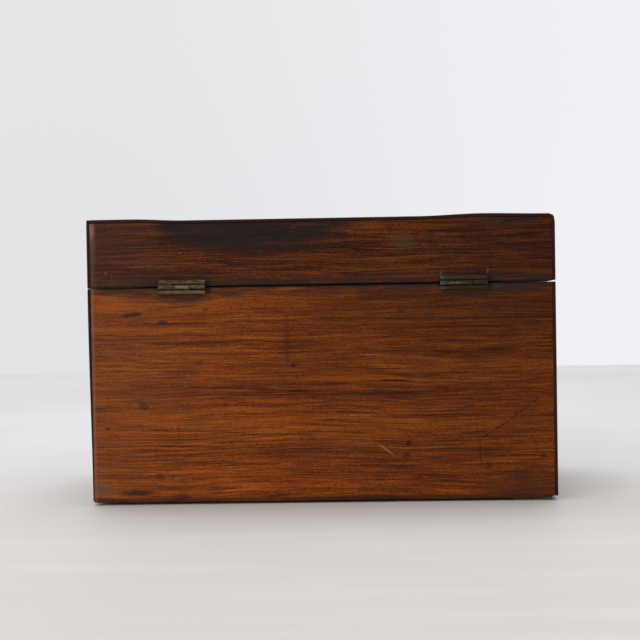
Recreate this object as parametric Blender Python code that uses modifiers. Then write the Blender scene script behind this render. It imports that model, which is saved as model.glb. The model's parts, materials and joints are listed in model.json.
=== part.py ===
"""A rosewood-veneered tea caddy: a hinged box with two foil-lined compartments under lift-out lids.

The box stands on four felt pads. +Z is up, the lock faces -Y and the hinges are at +Y. The origin is
the middle of the whole piece, key and hinges included, at the height of what it stands on.
Left and right are those of someone who looks at the lock.
"""

import math

import bmesh
import bpy
from mathutils import Matrix, Vector

MM = 0.001

# The whole box
WIDTH = 230 * MM
DEPTH = 126 * MM
BODY_HEIGHT = 105 * MM
LID_HEIGHT = 33.5 * MM
SEAM = 0.5 * MM  # between the box's rim and the closed lid
GAP = 0.3 * MM  # between two pieces that lie against each other

# Boards and veneers
VENEER = 1.2 * MM
TOP_VENEER = 1.5 * MM
BOARD = 8 * MM
LINING_GAP = 0.6 * MM
LINING = 4.5 * MM
LIP = 2.5 * MM  # the thinner upper part of the lining, which the lid closes over
LIP_RISE = 3 * MM
PARTITION = 6 * MM
TONGUE = 2 * MM
FOIL = 0.4 * MM
FELT = 1.8 * MM
FELT_SIDE = 19 * MM

# Lids of the two compartments
INNER_LID = 5 * MM
INNER_LID_DROP = 9 * MM  # from the rim down to the inner lids' tops
INNER_LID_CLEARANCE = 0.5 * MM
KNOB_RADIUS = 5.4 * MM
KNOB_STEM = 2 * MM
KNOB_STEM_SHORT = 0.5 * MM  # from the stem's end to the inner lid's underside
KNOB_BALL = 4 * MM
KNOB_BALL_HEIGHT = 6.2 * MM
KNOB_WAIST = (2.3 * MM, 1.8 * MM)  # radius and height
KNOB_COVE = (4.2 * MM, 1.2 * MM)
KNOB_FOOT = 4.4 * MM
INNER_LID_BEVEL = 0.6 * MM
LID_PAD = 3.7 * MM

# Hinges
HINGE_X = 69 * MM
HINGE_SHIFT = -1 * MM  # both hinges sit this far off their even places
HINGE_LENGTH = 23 * MM
MIDDLE_KNUCKLE = 7.8 * MM
KNUCKLE_RADIUS = 1.75 * MM
PIN_RADIUS = 0.7 * MM
PIN_PLAY = 0.1 * MM
AXIS_BEHIND = 2 * MM  # the hinge axis lies this far behind the box's back face
LEAF_INNER = 0.1 * MM
LEAF_OUTER = 1.4 * MM
LEAF_REACH = 9.5 * MM
BAR_INNER = 1 * MM
BAR_BACK = 1.6 * MM
BAR_TOP = 3.6 * MM
BAR_CHAMFER = 0.7 * MM
STOP_ANGLE = math.radians(48.5)
RELIEF_RADIUS = 2.05 * MM
PIN_SHORT = 0.2 * MM  # how far the pin ends inside the knuckles
SCREW_OFFSET = 7 * MM

# Screws
HEAD_RADIUS = 1.7 * MM
HEAD_RIM = 0.15 * MM  # the straight part of the head
HEAD_HEIGHT = 0.95 * MM
HEAD_SUNK = 0.05 * MM  # from the face around it down to the head
SHANK_RADIUS = 0.8 * MM
SCREW_LENGTH = 6.4 * MM
SCREW_POINT = 1.2 * MM
SCREW_SLOT_HALF = 0.22 * MM
SCREW_SLOT_DEPTH = 0.35 * MM
COUNTERSINK_RIM = 0.1 * MM
COUNTERSINK = 1 * MM
COUNTERSINK_OPEN = 0.5 * MM  # the cutter stands this far out of the face

# Lock, measured from the box's front face and down from its rim
LOCK_FRONT = 2.9 * MM
LOCK_BACK = 9.5 * MM
SELVEDGE_HALF = 25 * MM
SELVEDGE = 1.5 * MM
CASE_HALF = 19 * MM
CASE_WALL = 0.8 * MM
CASE_DROP = 20.3 * MM
KEY_DROP = 13.5 * MM
KEYHOLE_RADIUS = 1.9 * MM
KEYHOLE_HALF = 1 * MM
KEYHOLE_DROP = 5.5 * MM
BOLT_THROW = 5 * MM
BOLT_TOP = 2.8 * MM
BOLT_LOW = 9 * MM
BOLT_FAR_END = -15 * MM
BOLT = 2.5 * MM
BOLT_SHORT = 0.7 * MM  # from the thrown bolt's body to the staple
TALON_HALF = 3.8 * MM
TALON_TOP = 8 * MM
NOSE_TOP = 3 * MM
NOSE_HEIGHT = 2 * MM
NOSE_HALF = 0.7 * MM
NOSE_SHORT = 1.5 * MM  # from the drawn bolt's nose to the staple
STAPLE_X = 8 * MM
STAPLE_WIDTH = 2.5 * MM
STAPLE_HALF = 2.2 * MM
STAPLE_WIRE = 0.9 * MM
EYE_PLAY = 0.6 * MM  # between the bolt's nose and the eye of the staple
SLOT_PLAY = 0.6 * MM  # between the staple and the slot that it enters
LINK_HALF = 17 * MM
LINK = 1.2 * MM
LINK_SCREW_X = 13.9 * MM
SELVEDGE_SCREW_X = 21.9 * MM
LOCK_MIDDLE = 6.2 * MM
ESCUTCHEON_HALF = (7.5 * MM, 12 * MM)

# Key
SHANK = 1.4 * MM
BIT_RADIUS = 5 * MM
BIT_HALF = 0.6 * MM
KEY_REACH = 24 * MM  # how far the key stands out of the front face
KEY_TIP = 8 * MM  # this and the next two lie inside the front face
BIT_DEPTHS = (4.4 * MM, 7.8 * MM)
WARD_DEPTHS = (5.8 * MM, 6.5 * MM)
WARD_HEIGHT = 1.6 * MM
COLLAR = 1.9 * MM
COLLAR_HALF = 0.8 * MM
COLLAR_OUT = 2.2 * MM  # from the front face out to the collar
NECK_OVERLAP = 0.4 * MM
BOW_RADIUS = 6.6 * MM
BOW_WIRE = 1.2 * MM
BOW_STRETCH = 1.2

# Places that follow from the sizes
HALF_W = WIDTH / 2
HALF_D = DEPTH / 2
WALL = VENEER + GAP + BOARD
BASE_Z = FELT + GAP
RIM_Z = BASE_Z + BODY_HEIGHT
LID_Z = RIM_Z + SEAM
TOP_Z = LID_Z + LID_HEIGHT
HINGE_REACH = AXIS_BEHIND + KNUCKLE_RADIUS
BOX_Y = (KEY_REACH - HINGE_REACH) / 2
FRONT_Y = BOX_Y - HALF_D
BACK_Y = BOX_Y + HALF_D
AXIS_Y = BACK_Y + AXIS_BEHIND
AXIS_Z = RIM_Z + SEAM / 2
FLOOR_Z = BASE_Z + BOARD
PANEL_Z = TOP_Z - TOP_VENEER - GAP - BOARD
INNER_TOP = RIM_Z - INNER_LID_DROP
LEDGE_Z = INNER_TOP - INNER_LID - GAP
KEY_Z = RIM_Z - KEY_DROP
LINING_FACE = WALL + LINING_GAP

SHARP_ANGLE = math.radians(35)
ROUND_SIDES = 16
TURN_STEPS = 20
MERGE = 0.00001
MITRE_GAP = GAP / math.sqrt(2)
PAST = 2 * MM  # how far a cutter runs past the face that it opens


def clear_scene():
    for obj in list(bpy.data.objects):
        bpy.data.objects.remove(obj)


def collection(name):
    group = bpy.data.collections.new(name)
    bpy.context.scene.collection.children.link(group)
    return group


clear_scene()
PARTS = collection("tea_caddy")
CUTTERS = collection("cutters")


def material(name, color, roughness, metallic=0.0):
    made = bpy.data.materials.new(name)
    made.use_nodes = True
    shader = made.node_tree.nodes["Principled BSDF"]
    shader.inputs["Base Color"].default_value = (*color, 1.0)
    shader.inputs["Roughness"].default_value = roughness
    shader.inputs["Metallic"].default_value = metallic
    made.diffuse_color = (*color, 1.0)
    return made


ROSEWOOD = material("rosewood", (0.13, 0.035, 0.012), 0.42)
CARCASS_WOOD = material("carcass_wood", (0.36, 0.19, 0.09), 0.6)
LINING_WOOD = material("lining_wood", (0.2, 0.075, 0.03), 0.5)
BRASS = material("brass", (0.32, 0.26, 0.13), 0.4, 1.0)
STEEL = material("steel", (0.3, 0.28, 0.26), 0.45, 1.0)
LEAD_FOIL = material("lead_foil", (0.3, 0.31, 0.32), 0.5, 1.0)
GREEN_FELT = material("green_felt", (0.03, 0.2, 0.07), 0.95)
VELVET = material("velvet", (0.16, 0.015, 0.03), 0.9)
PEARL = material("mother_of_pearl", (0.75, 0.74, 0.68), 0.25)
EBONY = material("ebony", (0.03, 0.02, 0.015), 0.3)


def add_object(name, mesh, surface=None):
    """A part when it has a surface, or else a cutter or a piece that a part takes in."""
    obj = bpy.data.objects.new(name, mesh)
    if surface:
        PARTS.objects.link(obj)
        mesh.materials.append(surface)
    else:
        CUTTERS.objects.link(obj)
        obj.hide_render = True
        obj.display_type = "WIRE"
    return obj


def smooth(obj):
    obj.data.shade_smooth()
    obj.data.set_sharp_from_angle(angle=SHARP_ANGLE)
    return obj


def block(name, low, high, surface=None, open_top=False):
    """A rectangular block between two corners, its origin at its middle."""
    low, high = Vector(low), Vector(high)
    bm = bmesh.new()
    bmesh.ops.create_cube(bm, size=1.0, matrix=Matrix.Diagonal((*(high - low), 1.0)))
    if open_top:
        top = max(bm.faces, key=lambda face: face.calc_center_median().z)
        bmesh.ops.delete(bm, geom=[top], context="FACES_ONLY")
    mesh = bpy.data.meshes.new(name)
    bm.to_mesh(mesh)
    bm.free()
    obj = add_object(name, mesh, surface)
    obj.location = (low + high) / 2
    return obj


def rod(name, start, end, radius, surface=None):
    """A cylinder from one point to another."""
    start, end = Vector(start), Vector(end)
    bm = bmesh.new()
    bmesh.ops.create_cone(
        bm,
        cap_ends=True,
        segments=ROUND_SIDES,
        radius1=radius,
        radius2=radius,
        depth=(end - start).length,
    )
    mesh = bpy.data.meshes.new(name)
    bm.to_mesh(mesh)
    bm.free()
    obj = add_object(name, mesh, surface)
    obj.rotation_euler = (end - start).to_track_quat("Z", "Y").to_euler()
    obj.location = (start + end) / 2
    return smooth(obj)


def turned(name, profile, place, direction=(0, 0, 1), surface=None):
    """A turned shape from (radius, height) pairs, from its top centre down to its bottom centre."""
    mesh = bpy.data.meshes.new(name)
    mesh.from_pydata(
        [(radius, 0, height) for radius, height in profile],
        [(i, i + 1) for i in range(len(profile) - 1)],
        [],
    )
    obj = add_object(name, mesh, surface)
    screw = obj.modifiers.new("turn", "SCREW")
    screw.steps = TURN_STEPS
    screw.render_steps = TURN_STEPS
    screw.use_merge_vertices = True
    screw.merge_threshold = MERGE
    screw.use_smooth_shade = True
    obj.rotation_euler = Vector(direction).to_track_quat("Z", "Y").to_euler()
    obj.location = place
    return obj


def outline_mesh(name, points, thickness):
    """The mesh of a flat outline in its own XY plane, thickened evenly to both sides."""
    curve = bpy.data.curves.new(name, "CURVE")
    curve.dimensions = "2D"
    curve.fill_mode = "BOTH"
    curve.extrude = thickness / 2
    spline = curve.splines.new("POLY")
    spline.points.add(len(points) - 1)
    for point, (x, y) in zip(spline.points, points):
        point.co = (x, y, 0, 1)
    spline.use_cyclic_u = True
    holder = bpy.data.objects.new(name, curve)
    CUTTERS.objects.link(holder)
    bpy.context.view_layer.update()
    shown = holder.evaluated_get(bpy.context.evaluated_depsgraph_get())
    mesh = bpy.data.meshes.new_from_object(shown)
    bpy.data.objects.remove(holder)
    bm = bmesh.new()
    bm.from_mesh(mesh)
    bmesh.ops.remove_doubles(bm, verts=bm.verts, dist=MERGE)
    bmesh.ops.recalc_face_normals(bm, faces=bm.faces)
    bm.to_mesh(mesh)
    bm.free()
    return mesh


def prism(name, points, thickness, middle, axes, surface=None):
    """A flat outline whose own X, Y and Z axes lie along three given axes, around a middle point."""
    obj = add_object(name, outline_mesh(name, points, thickness), surface)
    turn = Matrix(axes).transposed().to_4x4()
    obj.matrix_world = Matrix.Translation(middle) @ turn
    return obj


def frame_board(name, side, profile, surface):
    """A board of the given section along one side of the box, its ends mitred.

    The section's points are (distance in from the box's outer face, height)."""
    mesh = outline_mesh(name, profile, 1.0)
    sign = -1 if side in ("front", "left") else 1
    for vertex in mesh.vertices:
        inset, height, end = vertex.co
        end = math.copysign(1, end)
        if side in ("front", "back"):
            vertex.co = (end * (HALF_W - inset - MITRE_GAP), sign * (HALF_D - inset), height)
        else:
            vertex.co = (sign * (HALF_W - inset), end * (HALF_D - inset - MITRE_GAP), height)
    bm = bmesh.new()
    bm.from_mesh(mesh)
    bmesh.ops.recalc_face_normals(bm, faces=bm.faces)
    bm.to_mesh(mesh)
    bm.free()
    obj = add_object(name, mesh, surface)
    obj.location.y = BOX_Y
    return obj


def combine(obj, other, operation):
    boolean = obj.modifiers.new(other.name, "BOOLEAN")
    boolean.object = other
    boolean.operation = operation
    boolean.solver = "EXACT"


def cut(obj, *cutters):
    for cutter in cutters:
        combine(obj, cutter, "DIFFERENCE")


def join(obj, *pieces):
    for piece in pieces:
        combine(obj, piece, "UNION")


def bevel(obj, width, segments=2):
    modifier = obj.modifiers.new("round_edges", "BEVEL")
    modifier.width = width
    modifier.segments = segments
    modifier.limit_method = "ANGLE"


def solidify(obj, thickness):
    """Thickens an open surface inwards."""
    modifier = obj.modifiers.new("wall", "SOLIDIFY")
    modifier.thickness = thickness
    modifier.offset = -1
    modifier.use_even_offset = True


def axis_empty(name, place):
    empty = bpy.data.objects.new(name, None)
    PARTS.objects.link(empty)
    empty.location = place
    return empty


def hang_on(empty, pieces):
    """Parents pieces to an empty, and leaves them where they are."""
    bpy.context.view_layer.update()
    for piece in pieces:
        piece.parent = empty
        piece.matrix_parent_inverse = empty.matrix_world.inverted()


def box_section(inset, depth, low, high):
    return [(inset, low), (inset + depth, low), (inset + depth, high), (inset, high)]


# Screws: every one is the same small countersunk wood screw.


def wood_screw(name, head, direction, surface=STEEL):
    """A screw whose head's face is centred on head and whose point lies along direction."""
    away = -Vector(direction)
    profile = [
        (0, 0),
        (HEAD_RADIUS, 0),
        (HEAD_RADIUS, -HEAD_RIM),
        (SHANK_RADIUS, -HEAD_HEIGHT),
        (SHANK_RADIUS, -SCREW_LENGTH + SCREW_POINT),
        (0, -SCREW_LENGTH),
    ]
    screw = turned(name, profile, head, away, surface)
    slot_half = Vector((HEAD_RADIUS + GAP, SCREW_SLOT_HALF, SCREW_SLOT_DEPTH))
    slot = block(name + "_slot", Vector(head) - slot_half, Vector(head) + slot_half)
    cut(screw, slot)
    return screw


def screw_hole(name, head, direction):
    """The cutter for a screw's countersink and hole."""
    profile = [
        (0, COUNTERSINK_OPEN),
        (HEAD_RADIUS + GAP, COUNTERSINK_OPEN),
        (HEAD_RADIUS + GAP, -COUNTERSINK_RIM),
        (SHANK_RADIUS + GAP, -COUNTERSINK),
        (SHANK_RADIUS + GAP, -SCREW_LENGTH - GAP),
        (0, -SCREW_LENGTH - GAP),
    ]
    return turned(name, profile, head, -Vector(direction))


# Carcass


def make_carcass():
    """The walls, the bottom and the veneers of the box."""
    walls = {}
    for side in ("front", "back", "left", "right"):
        section = box_section(VENEER + GAP, BOARD, BASE_Z, RIM_Z)
        walls[side] = frame_board(f"{side}_board", side, section, CARCASS_WOOD)
    inner_w = HALF_W - WALL - GAP
    inner_d = HALF_D - WALL - GAP
    block(
        "bottom_board",
        (-inner_w, BOX_Y - inner_d, BASE_Z),
        (inner_w, BOX_Y + inner_d, FLOOR_Z),
        CARCASS_WOOD,
    )
    return walls, make_veneers("", BASE_Z, RIM_Z)


def make_veneers(prefix, low, high):
    """Side veneers run the whole depth, and cover the ends of those at the front and back."""
    between = HALF_W - VENEER - GAP
    veneers = {}
    for side, near in (("front", FRONT_Y), ("back", BACK_Y - VENEER)):
        veneers[side] = block(
            f"{prefix}{side}_veneer",
            (-between, near, low),
            (between, near + VENEER, high),
            ROSEWOOD,
        )
    for side, near in (("left", -HALF_W), ("right", HALF_W - VENEER)):
        veneers[side] = block(
            f"{prefix}{side}_veneer",
            (near, FRONT_Y, low),
            (near + VENEER, BACK_Y, high),
            ROSEWOOD,
        )
    return veneers


def make_linings():
    """Stepped lining boards: the ledges carry the inner lids, and the lips enter the closed lid."""
    face = LINING_FACE
    section = [
        (face, FLOOR_Z + GAP),
        (face + LINING, FLOOR_Z + GAP),
        (face + LINING, LEDGE_Z),
        (face + LIP, LEDGE_Z),
        (face + LIP, RIM_Z + LIP_RISE),
        (face, RIM_Z + LIP_RISE),
    ]
    for side in ("front", "back", "left", "right"):
        frame_board(f"{side}_lining", side, section, LINING_WOOD)
    half_length = HALF_D - face - LINING - GAP
    outline = [
        (-PARTITION / 2, FLOOR_Z + GAP),
        (PARTITION / 2, FLOOR_Z + GAP),
        (PARTITION / 2, LEDGE_Z),
        (TONGUE / 2, LEDGE_Z),
        (TONGUE / 2, INNER_TOP),
        (-TONGUE / 2, INNER_TOP),
        (-TONGUE / 2, LEDGE_Z),
        (-PARTITION / 2, LEDGE_Z),
    ]
    axes = ((1, 0, 0), (0, 0, 1), (0, -1, 0))
    prism("partition", outline, 2 * half_length, (0, BOX_Y, 0), axes, LINING_WOOD)


def make_foils():
    near = PARTITION / 2 + GAP
    far = HALF_W - LINING_FACE - LINING - GAP
    half_d = HALF_D - LINING_FACE - LINING - GAP
    for side, low, high in (("left", -far, -near), ("right", near, far)):
        foil = block(
            f"{side}_foil",
            (low, BOX_Y - half_d, FLOOR_Z + GAP),
            (high, BOX_Y + half_d, LEDGE_Z - GAP),
            LEAD_FOIL,
            open_top=True,
        )
        solidify(foil, FOIL)


def make_felt_pads():
    """Pads stuck on by hand, each at its own distance from its corner (along X, along Y)."""
    corners = {
        "back_left": (-1, 1, 2.5 * MM, 0.6 * MM),
        "back_right": (1, 1, 12 * MM, 9 * MM),
        "front_left": (-1, -1, 5 * MM, 4 * MM),
        "front_right": (1, -1, 6 * MM, 3.5 * MM),
    }
    for corner, (side_x, side_y, in_x, in_y) in corners.items():
        x = side_x * (HALF_W - in_x - FELT_SIDE / 2)
        y = BOX_Y + side_y * (HALF_D - in_y - FELT_SIDE / 2)
        half = FELT_SIDE / 2
        block(
            f"felt_pad_{corner}",
            (x - half, y - half, 0),
            (x + half, y + half, FELT),
            GREEN_FELT,
        )


# Lid


def make_lid():
    """The lid's frame, panel, veneers and padded lining."""
    boards = {}
    for side in ("front", "back", "left", "right"):
        section = box_section(VENEER + GAP, BOARD, LID_Z, PANEL_Z - GAP)
        boards[side] = frame_board(f"lid_{side}_board", side, section, CARCASS_WOOD)
    veneers = make_veneers("lid_", LID_Z, TOP_Z - TOP_VENEER - GAP)
    half_w = HALF_W - VENEER - GAP
    half_d = HALF_D - VENEER - GAP
    panel = block(
        "lid_panel",
        (-half_w, BOX_Y - half_d, PANEL_Z),
        (half_w, BOX_Y + half_d, PANEL_Z + BOARD),
        CARCASS_WOOD,
    )
    top = block(
        "lid_top_veneer",
        (-HALF_W, FRONT_Y, TOP_Z - TOP_VENEER),
        (HALF_W, BACK_Y, TOP_Z),
        ROSEWOOD,
    )
    pad_w = HALF_W - LINING_FACE
    pad_d = HALF_D - LINING_FACE
    pad = block(
        "lid_pad",
        (-pad_w, BOX_Y - pad_d, PANEL_Z - GAP - LID_PAD),
        (pad_w, BOX_Y + pad_d, PANEL_Z - GAP),
        VELVET,
    )
    return boards, veneers, [panel, top, pad]


# Inner lids


def arc(middle, radius, start, end, steps):
    """Points on an arc of a turned outline, angles in degrees from straight out."""
    turns = [math.radians(start + (end - start) * i / steps) for i in range(steps + 1)]
    return [
        (middle[0] + radius * math.cos(turn), middle[1] + radius * math.sin(turn))
        for turn in turns
    ]


def make_inner_lid(side, sign):
    near = TONGUE / 2 + INNER_LID_CLEARANCE
    far = HALF_W - LINING_FACE - LIP - INNER_LID_CLEARANCE
    half_d = HALF_D - LINING_FACE - LIP - INNER_LID_CLEARANCE
    low, high = sorted((sign * near, sign * far))
    lid = block(
        f"{side}_inner_lid",
        (low, BOX_Y - half_d, INNER_TOP - INNER_LID),
        (high, BOX_Y + half_d, INNER_TOP),
        LINING_WOOD,
    )
    bevel(lid, INNER_LID_BEVEL)
    middle = ((low + high) / 2, BOX_Y, INNER_TOP)
    hole = rod(
        f"{side}_knob_hole",
        (middle[0], BOX_Y, INNER_TOP - INNER_LID - PAST),
        (middle[0], BOX_Y, INNER_TOP + PAST),
        KNOB_STEM + GAP,
    )
    cut(lid, hole)
    stem_end = KNOB_STEM_SHORT - INNER_LID
    profile = [(0, KNOB_BALL_HEIGHT + KNOB_BALL)]
    profile += arc((KNOB_RADIUS - KNOB_BALL, KNOB_BALL_HEIGHT), KNOB_BALL, 78, -62, 7)
    profile += [
        KNOB_WAIST,
        KNOB_COVE,
        (KNOB_FOOT, GAP),
        (KNOB_STEM, GAP),
        (KNOB_STEM, stem_end),
        (0, stem_end),
    ]
    knob = turned(f"{side}_knob", profile, middle, surface=EBONY)
    hang_on(axis_empty(f"{side}_lift", middle), [lid, knob])


# Hinges


def section_prism(name, x_low, x_high, points, side, surface=None):
    """A prism along X from (behind the axis, away from the seam) points of one leaf."""
    outline = [(back, side * away) for back, away in points]
    axes = ((0, 1, 0), (0, 0, 1), (1, 0, 0))
    middle = ((x_low + x_high) / 2, AXIS_Y, AXIS_Z)
    return prism(name, outline, x_high - x_low, middle, axes, surface)


def knuckle_rod(name, x_low, x_high, radius, surface=None):
    return rod(name, (x_low, AXIS_Y, AXIS_Z), (x_high, AXIS_Y, AXIS_Z), radius, surface)


def hinge_leaf(name, middle_x, side, own_spans, other_spans):
    """A leaf with a thick stop bar behind the box: side is 1 above the seam and -1 below it."""
    low, high = middle_x - HINGE_LENGTH / 2, middle_x + HINGE_LENGTH / 2
    near_face = AXIS_BEHIND - GAP
    tangent = math.tan(STOP_ANGLE)
    bar = [
        (-LEAF_REACH, LEAF_INNER),
        (-BAR_INNER, LEAF_INNER),
        (-BAR_INNER, BAR_INNER),
        (BAR_INNER / tangent, BAR_INNER),
        (BAR_BACK, BAR_BACK * tangent),
        (BAR_BACK, BAR_TOP - BAR_CHAMFER),
        (BAR_BACK - BAR_CHAMFER, BAR_TOP),
        (-near_face, BAR_TOP),
        (-near_face, LEAF_OUTER),
        (-LEAF_REACH, LEAF_OUTER),
    ]
    leaf = section_prism(name, low, high, bar, side, BRASS)
    for i, (start, end) in enumerate(own_spans):
        piece = knuckle_rod(f"{name}_knuckle{i}", middle_x + start, middle_x + end, KNUCKLE_RADIUS)
        join(leaf, piece)
    for i, (start, end) in enumerate(other_spans):
        piece = knuckle_rod(f"{name}_relief{i}", middle_x + start, middle_x + end, RELIEF_RADIUS)
        cut(leaf, piece)
    bore = knuckle_rod(f"{name}_bore", low - PAST, high + PAST, PIN_RADIUS + PIN_PLAY)
    cut(leaf, bore)
    return leaf


def make_hinge(hand, middle_x, body_walls, lid_walls):
    """A stopped butt hinge. Returns the pieces that move with the lid."""
    half = HINGE_LENGTH / 2
    inner = MIDDLE_KNUCKLE / 2
    outer = inner + GAP
    ends = ((-half, -outer), (outer, half))
    middle = ((-inner, inner),)
    lid_leaf = hinge_leaf(f"{hand}_hinge_lid_leaf", middle_x, 1, ends, ((-outer, outer),))
    past_ends = ((-half - PAST, -inner), (inner, half + PAST))
    box_leaf = hinge_leaf(f"{hand}_hinge_box_leaf", middle_x, -1, middle, past_ends)
    pin_half = half - PIN_SHORT
    knuckle_rod(
        f"{hand}_hinge_pin", middle_x - pin_half, middle_x + pin_half, PIN_RADIUS, BRASS
    )
    notch = block(
        f"{hand}_hinge_notch",
        (middle_x - half - GAP, AXIS_Y - LEAF_REACH - GAP, AXIS_Z - LEAF_OUTER - GAP),
        (middle_x + half + GAP, BACK_Y + PAST, AXIS_Z + LEAF_OUTER + GAP),
    )
    for wall in (*body_walls, *lid_walls):
        cut(wall, notch)
    moving = [lid_leaf]
    screw_y = AXIS_Y - (LEAF_REACH + AXIS_BEHIND) / 2
    for place, offset in (("outer", 1), ("inner", -1)):
        x = middle_x + offset * math.copysign(SCREW_OFFSET, middle_x)
        for part, side, leaf, walls in (
            ("lid", 1, lid_leaf, lid_walls),
            ("box", -1, box_leaf, body_walls),
        ):
            head = (x, screw_y, AXIS_Z + side * (LEAF_INNER + HEAD_SUNK))
            name = f"{hand}_hinge_{part}_screw_{place}"
            hole = screw_hole(name + "_hole", head, (0, 0, side))
            cut(leaf, hole)
            cut(walls[0], hole)
            screw = wood_screw(name, head, (0, 0, side), BRASS)
            if part == "lid":
                moving.append(screw)
    return moving


# Lock


def lock_y(depth):
    return FRONT_Y + depth


def keyhole(name):
    """The cutter of a keyhole: a round hole with a slot below it."""
    y_low, y_high = lock_y(-PAST), lock_y(LOCK_FRONT + 2 * CASE_WALL)
    hole = rod(name, (0, y_low, KEY_Z), (0, y_high, KEY_Z), KEYHOLE_RADIUS)
    slot = block(
        name + "_slot",
        (-KEYHOLE_HALF, y_low, KEY_Z - KEYHOLE_DROP),
        (KEYHOLE_HALF, y_high, KEY_Z),
    )
    return [hole, slot]


def make_lock(front_board, front_veneer):
    """A box lock let into the front wall, with its key in it. The bolt slides along X."""
    selvedge = block(
        "lock_selvedge",
        (-SELVEDGE_HALF, lock_y(LOCK_FRONT), RIM_Z - SELVEDGE),
        (SELVEDGE_HALF, lock_y(LOCK_BACK), RIM_Z),
        BRASS,
    )
    reach = STAPLE_HALF + SLOT_PLAY
    slot = block(
        "selvedge_slot",
        (STAPLE_X - SLOT_PLAY, lock_y(LOCK_MIDDLE) - reach, RIM_Z - SELVEDGE - PAST),
        (STAPLE_X + STAPLE_WIDTH + SLOT_PLAY, lock_y(LOCK_MIDDLE) + reach, RIM_Z + PAST),
    )
    cut(selvedge, slot)
    case = block(
        "lock_case",
        (-CASE_HALF, lock_y(LOCK_FRONT), RIM_Z - CASE_DROP),
        (CASE_HALF, lock_y(LOCK_BACK), RIM_Z - SELVEDGE - GAP),
        BRASS,
        open_top=True,
    )
    solidify(case, CASE_WALL)
    mortise = block(
        "lock_mortise",
        (-CASE_HALF - GAP, lock_y(LOCK_FRONT - GAP), RIM_Z - CASE_DROP - GAP),
        (CASE_HALF + GAP, lock_y(LOCK_BACK + PAST), RIM_Z + PAST),
    )
    rebate = block(
        "selvedge_rebate",
        (-SELVEDGE_HALF - GAP, lock_y(LOCK_FRONT - GAP), RIM_Z - SELVEDGE - GAP),
        (SELVEDGE_HALF + GAP, lock_y(LOCK_BACK + PAST), RIM_Z + PAST),
    )
    cut(front_board, mortise, rebate)
    for hand, sign in (("left", -1), ("right", 1)):
        head = (sign * SELVEDGE_SCREW_X, lock_y(LOCK_MIDDLE), RIM_Z - HEAD_SUNK)
        hole = screw_hole(f"lock_screw_{hand}_hole", head, (0, 0, -1))
        cut(selvedge, hole)
        cut(front_board, hole)
        wood_screw(f"lock_screw_{hand}", head, (0, 0, -1), BRASS)
    half_w, half_h = ESCUTCHEON_HALF
    axes = ((1, 0, 0), (0, 0, 1), (0, -1, 0))
    lozenge = [(half_w, 0), (0, half_h), (-half_w, 0), (0, -half_h)]
    spread = [(x * (1 + GAP / half_w * 1.2), z * (1 + GAP / half_w * 1.2)) for x, z in lozenge]
    middle = (0, lock_y(VENEER / 2), KEY_Z)
    escutcheon = prism("escutcheon", lozenge, VENEER, middle, axes, PEARL)
    inlay = prism("escutcheon_inlay", spread, VENEER + PAST, middle, axes)
    cut(front_veneer, inlay)
    opening = keyhole("keyhole")
    for pierced in (front_board, case, escutcheon):
        cut(pierced, *opening)
    make_bolt()
    make_key()


def make_bolt():
    """A flat bolt with a nose for the staple, and a talon in its lower edge for the key's bit."""
    body_end = STAPLE_X - BOLT_THROW - BOLT_SHORT
    talon_low, talon_high = -BOLT_THROW / 2 - TALON_HALF, -BOLT_THROW / 2 + TALON_HALF
    outline = [
        (BOLT_FAR_END, -BOLT_LOW),
        (talon_low, -BOLT_LOW),
        (talon_low, -TALON_TOP),
        (talon_high, -TALON_TOP),
        (talon_high, -BOLT_LOW),
        (body_end, -BOLT_LOW),
        (body_end, -BOLT_TOP),
        (BOLT_FAR_END, -BOLT_TOP),
    ]
    axes = ((1, 0, 0), (0, 0, 1), (0, -1, 0))
    bolt = prism("lock_bolt", outline, BOLT, (0, lock_y(LOCK_MIDDLE), RIM_Z), axes, BRASS)
    nose = block(
        "bolt_nose",
        (body_end - MM, lock_y(LOCK_MIDDLE) - NOSE_HALF, RIM_Z - NOSE_TOP - NOSE_HEIGHT),
        (STAPLE_X - NOSE_SHORT, lock_y(LOCK_MIDDLE) + NOSE_HALF, RIM_Z - NOSE_TOP),
    )
    join(bolt, nose)
    hang_on(axis_empty("bolt_track", (0, lock_y(LOCK_MIDDLE), RIM_Z)), [bolt, nose])


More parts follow.
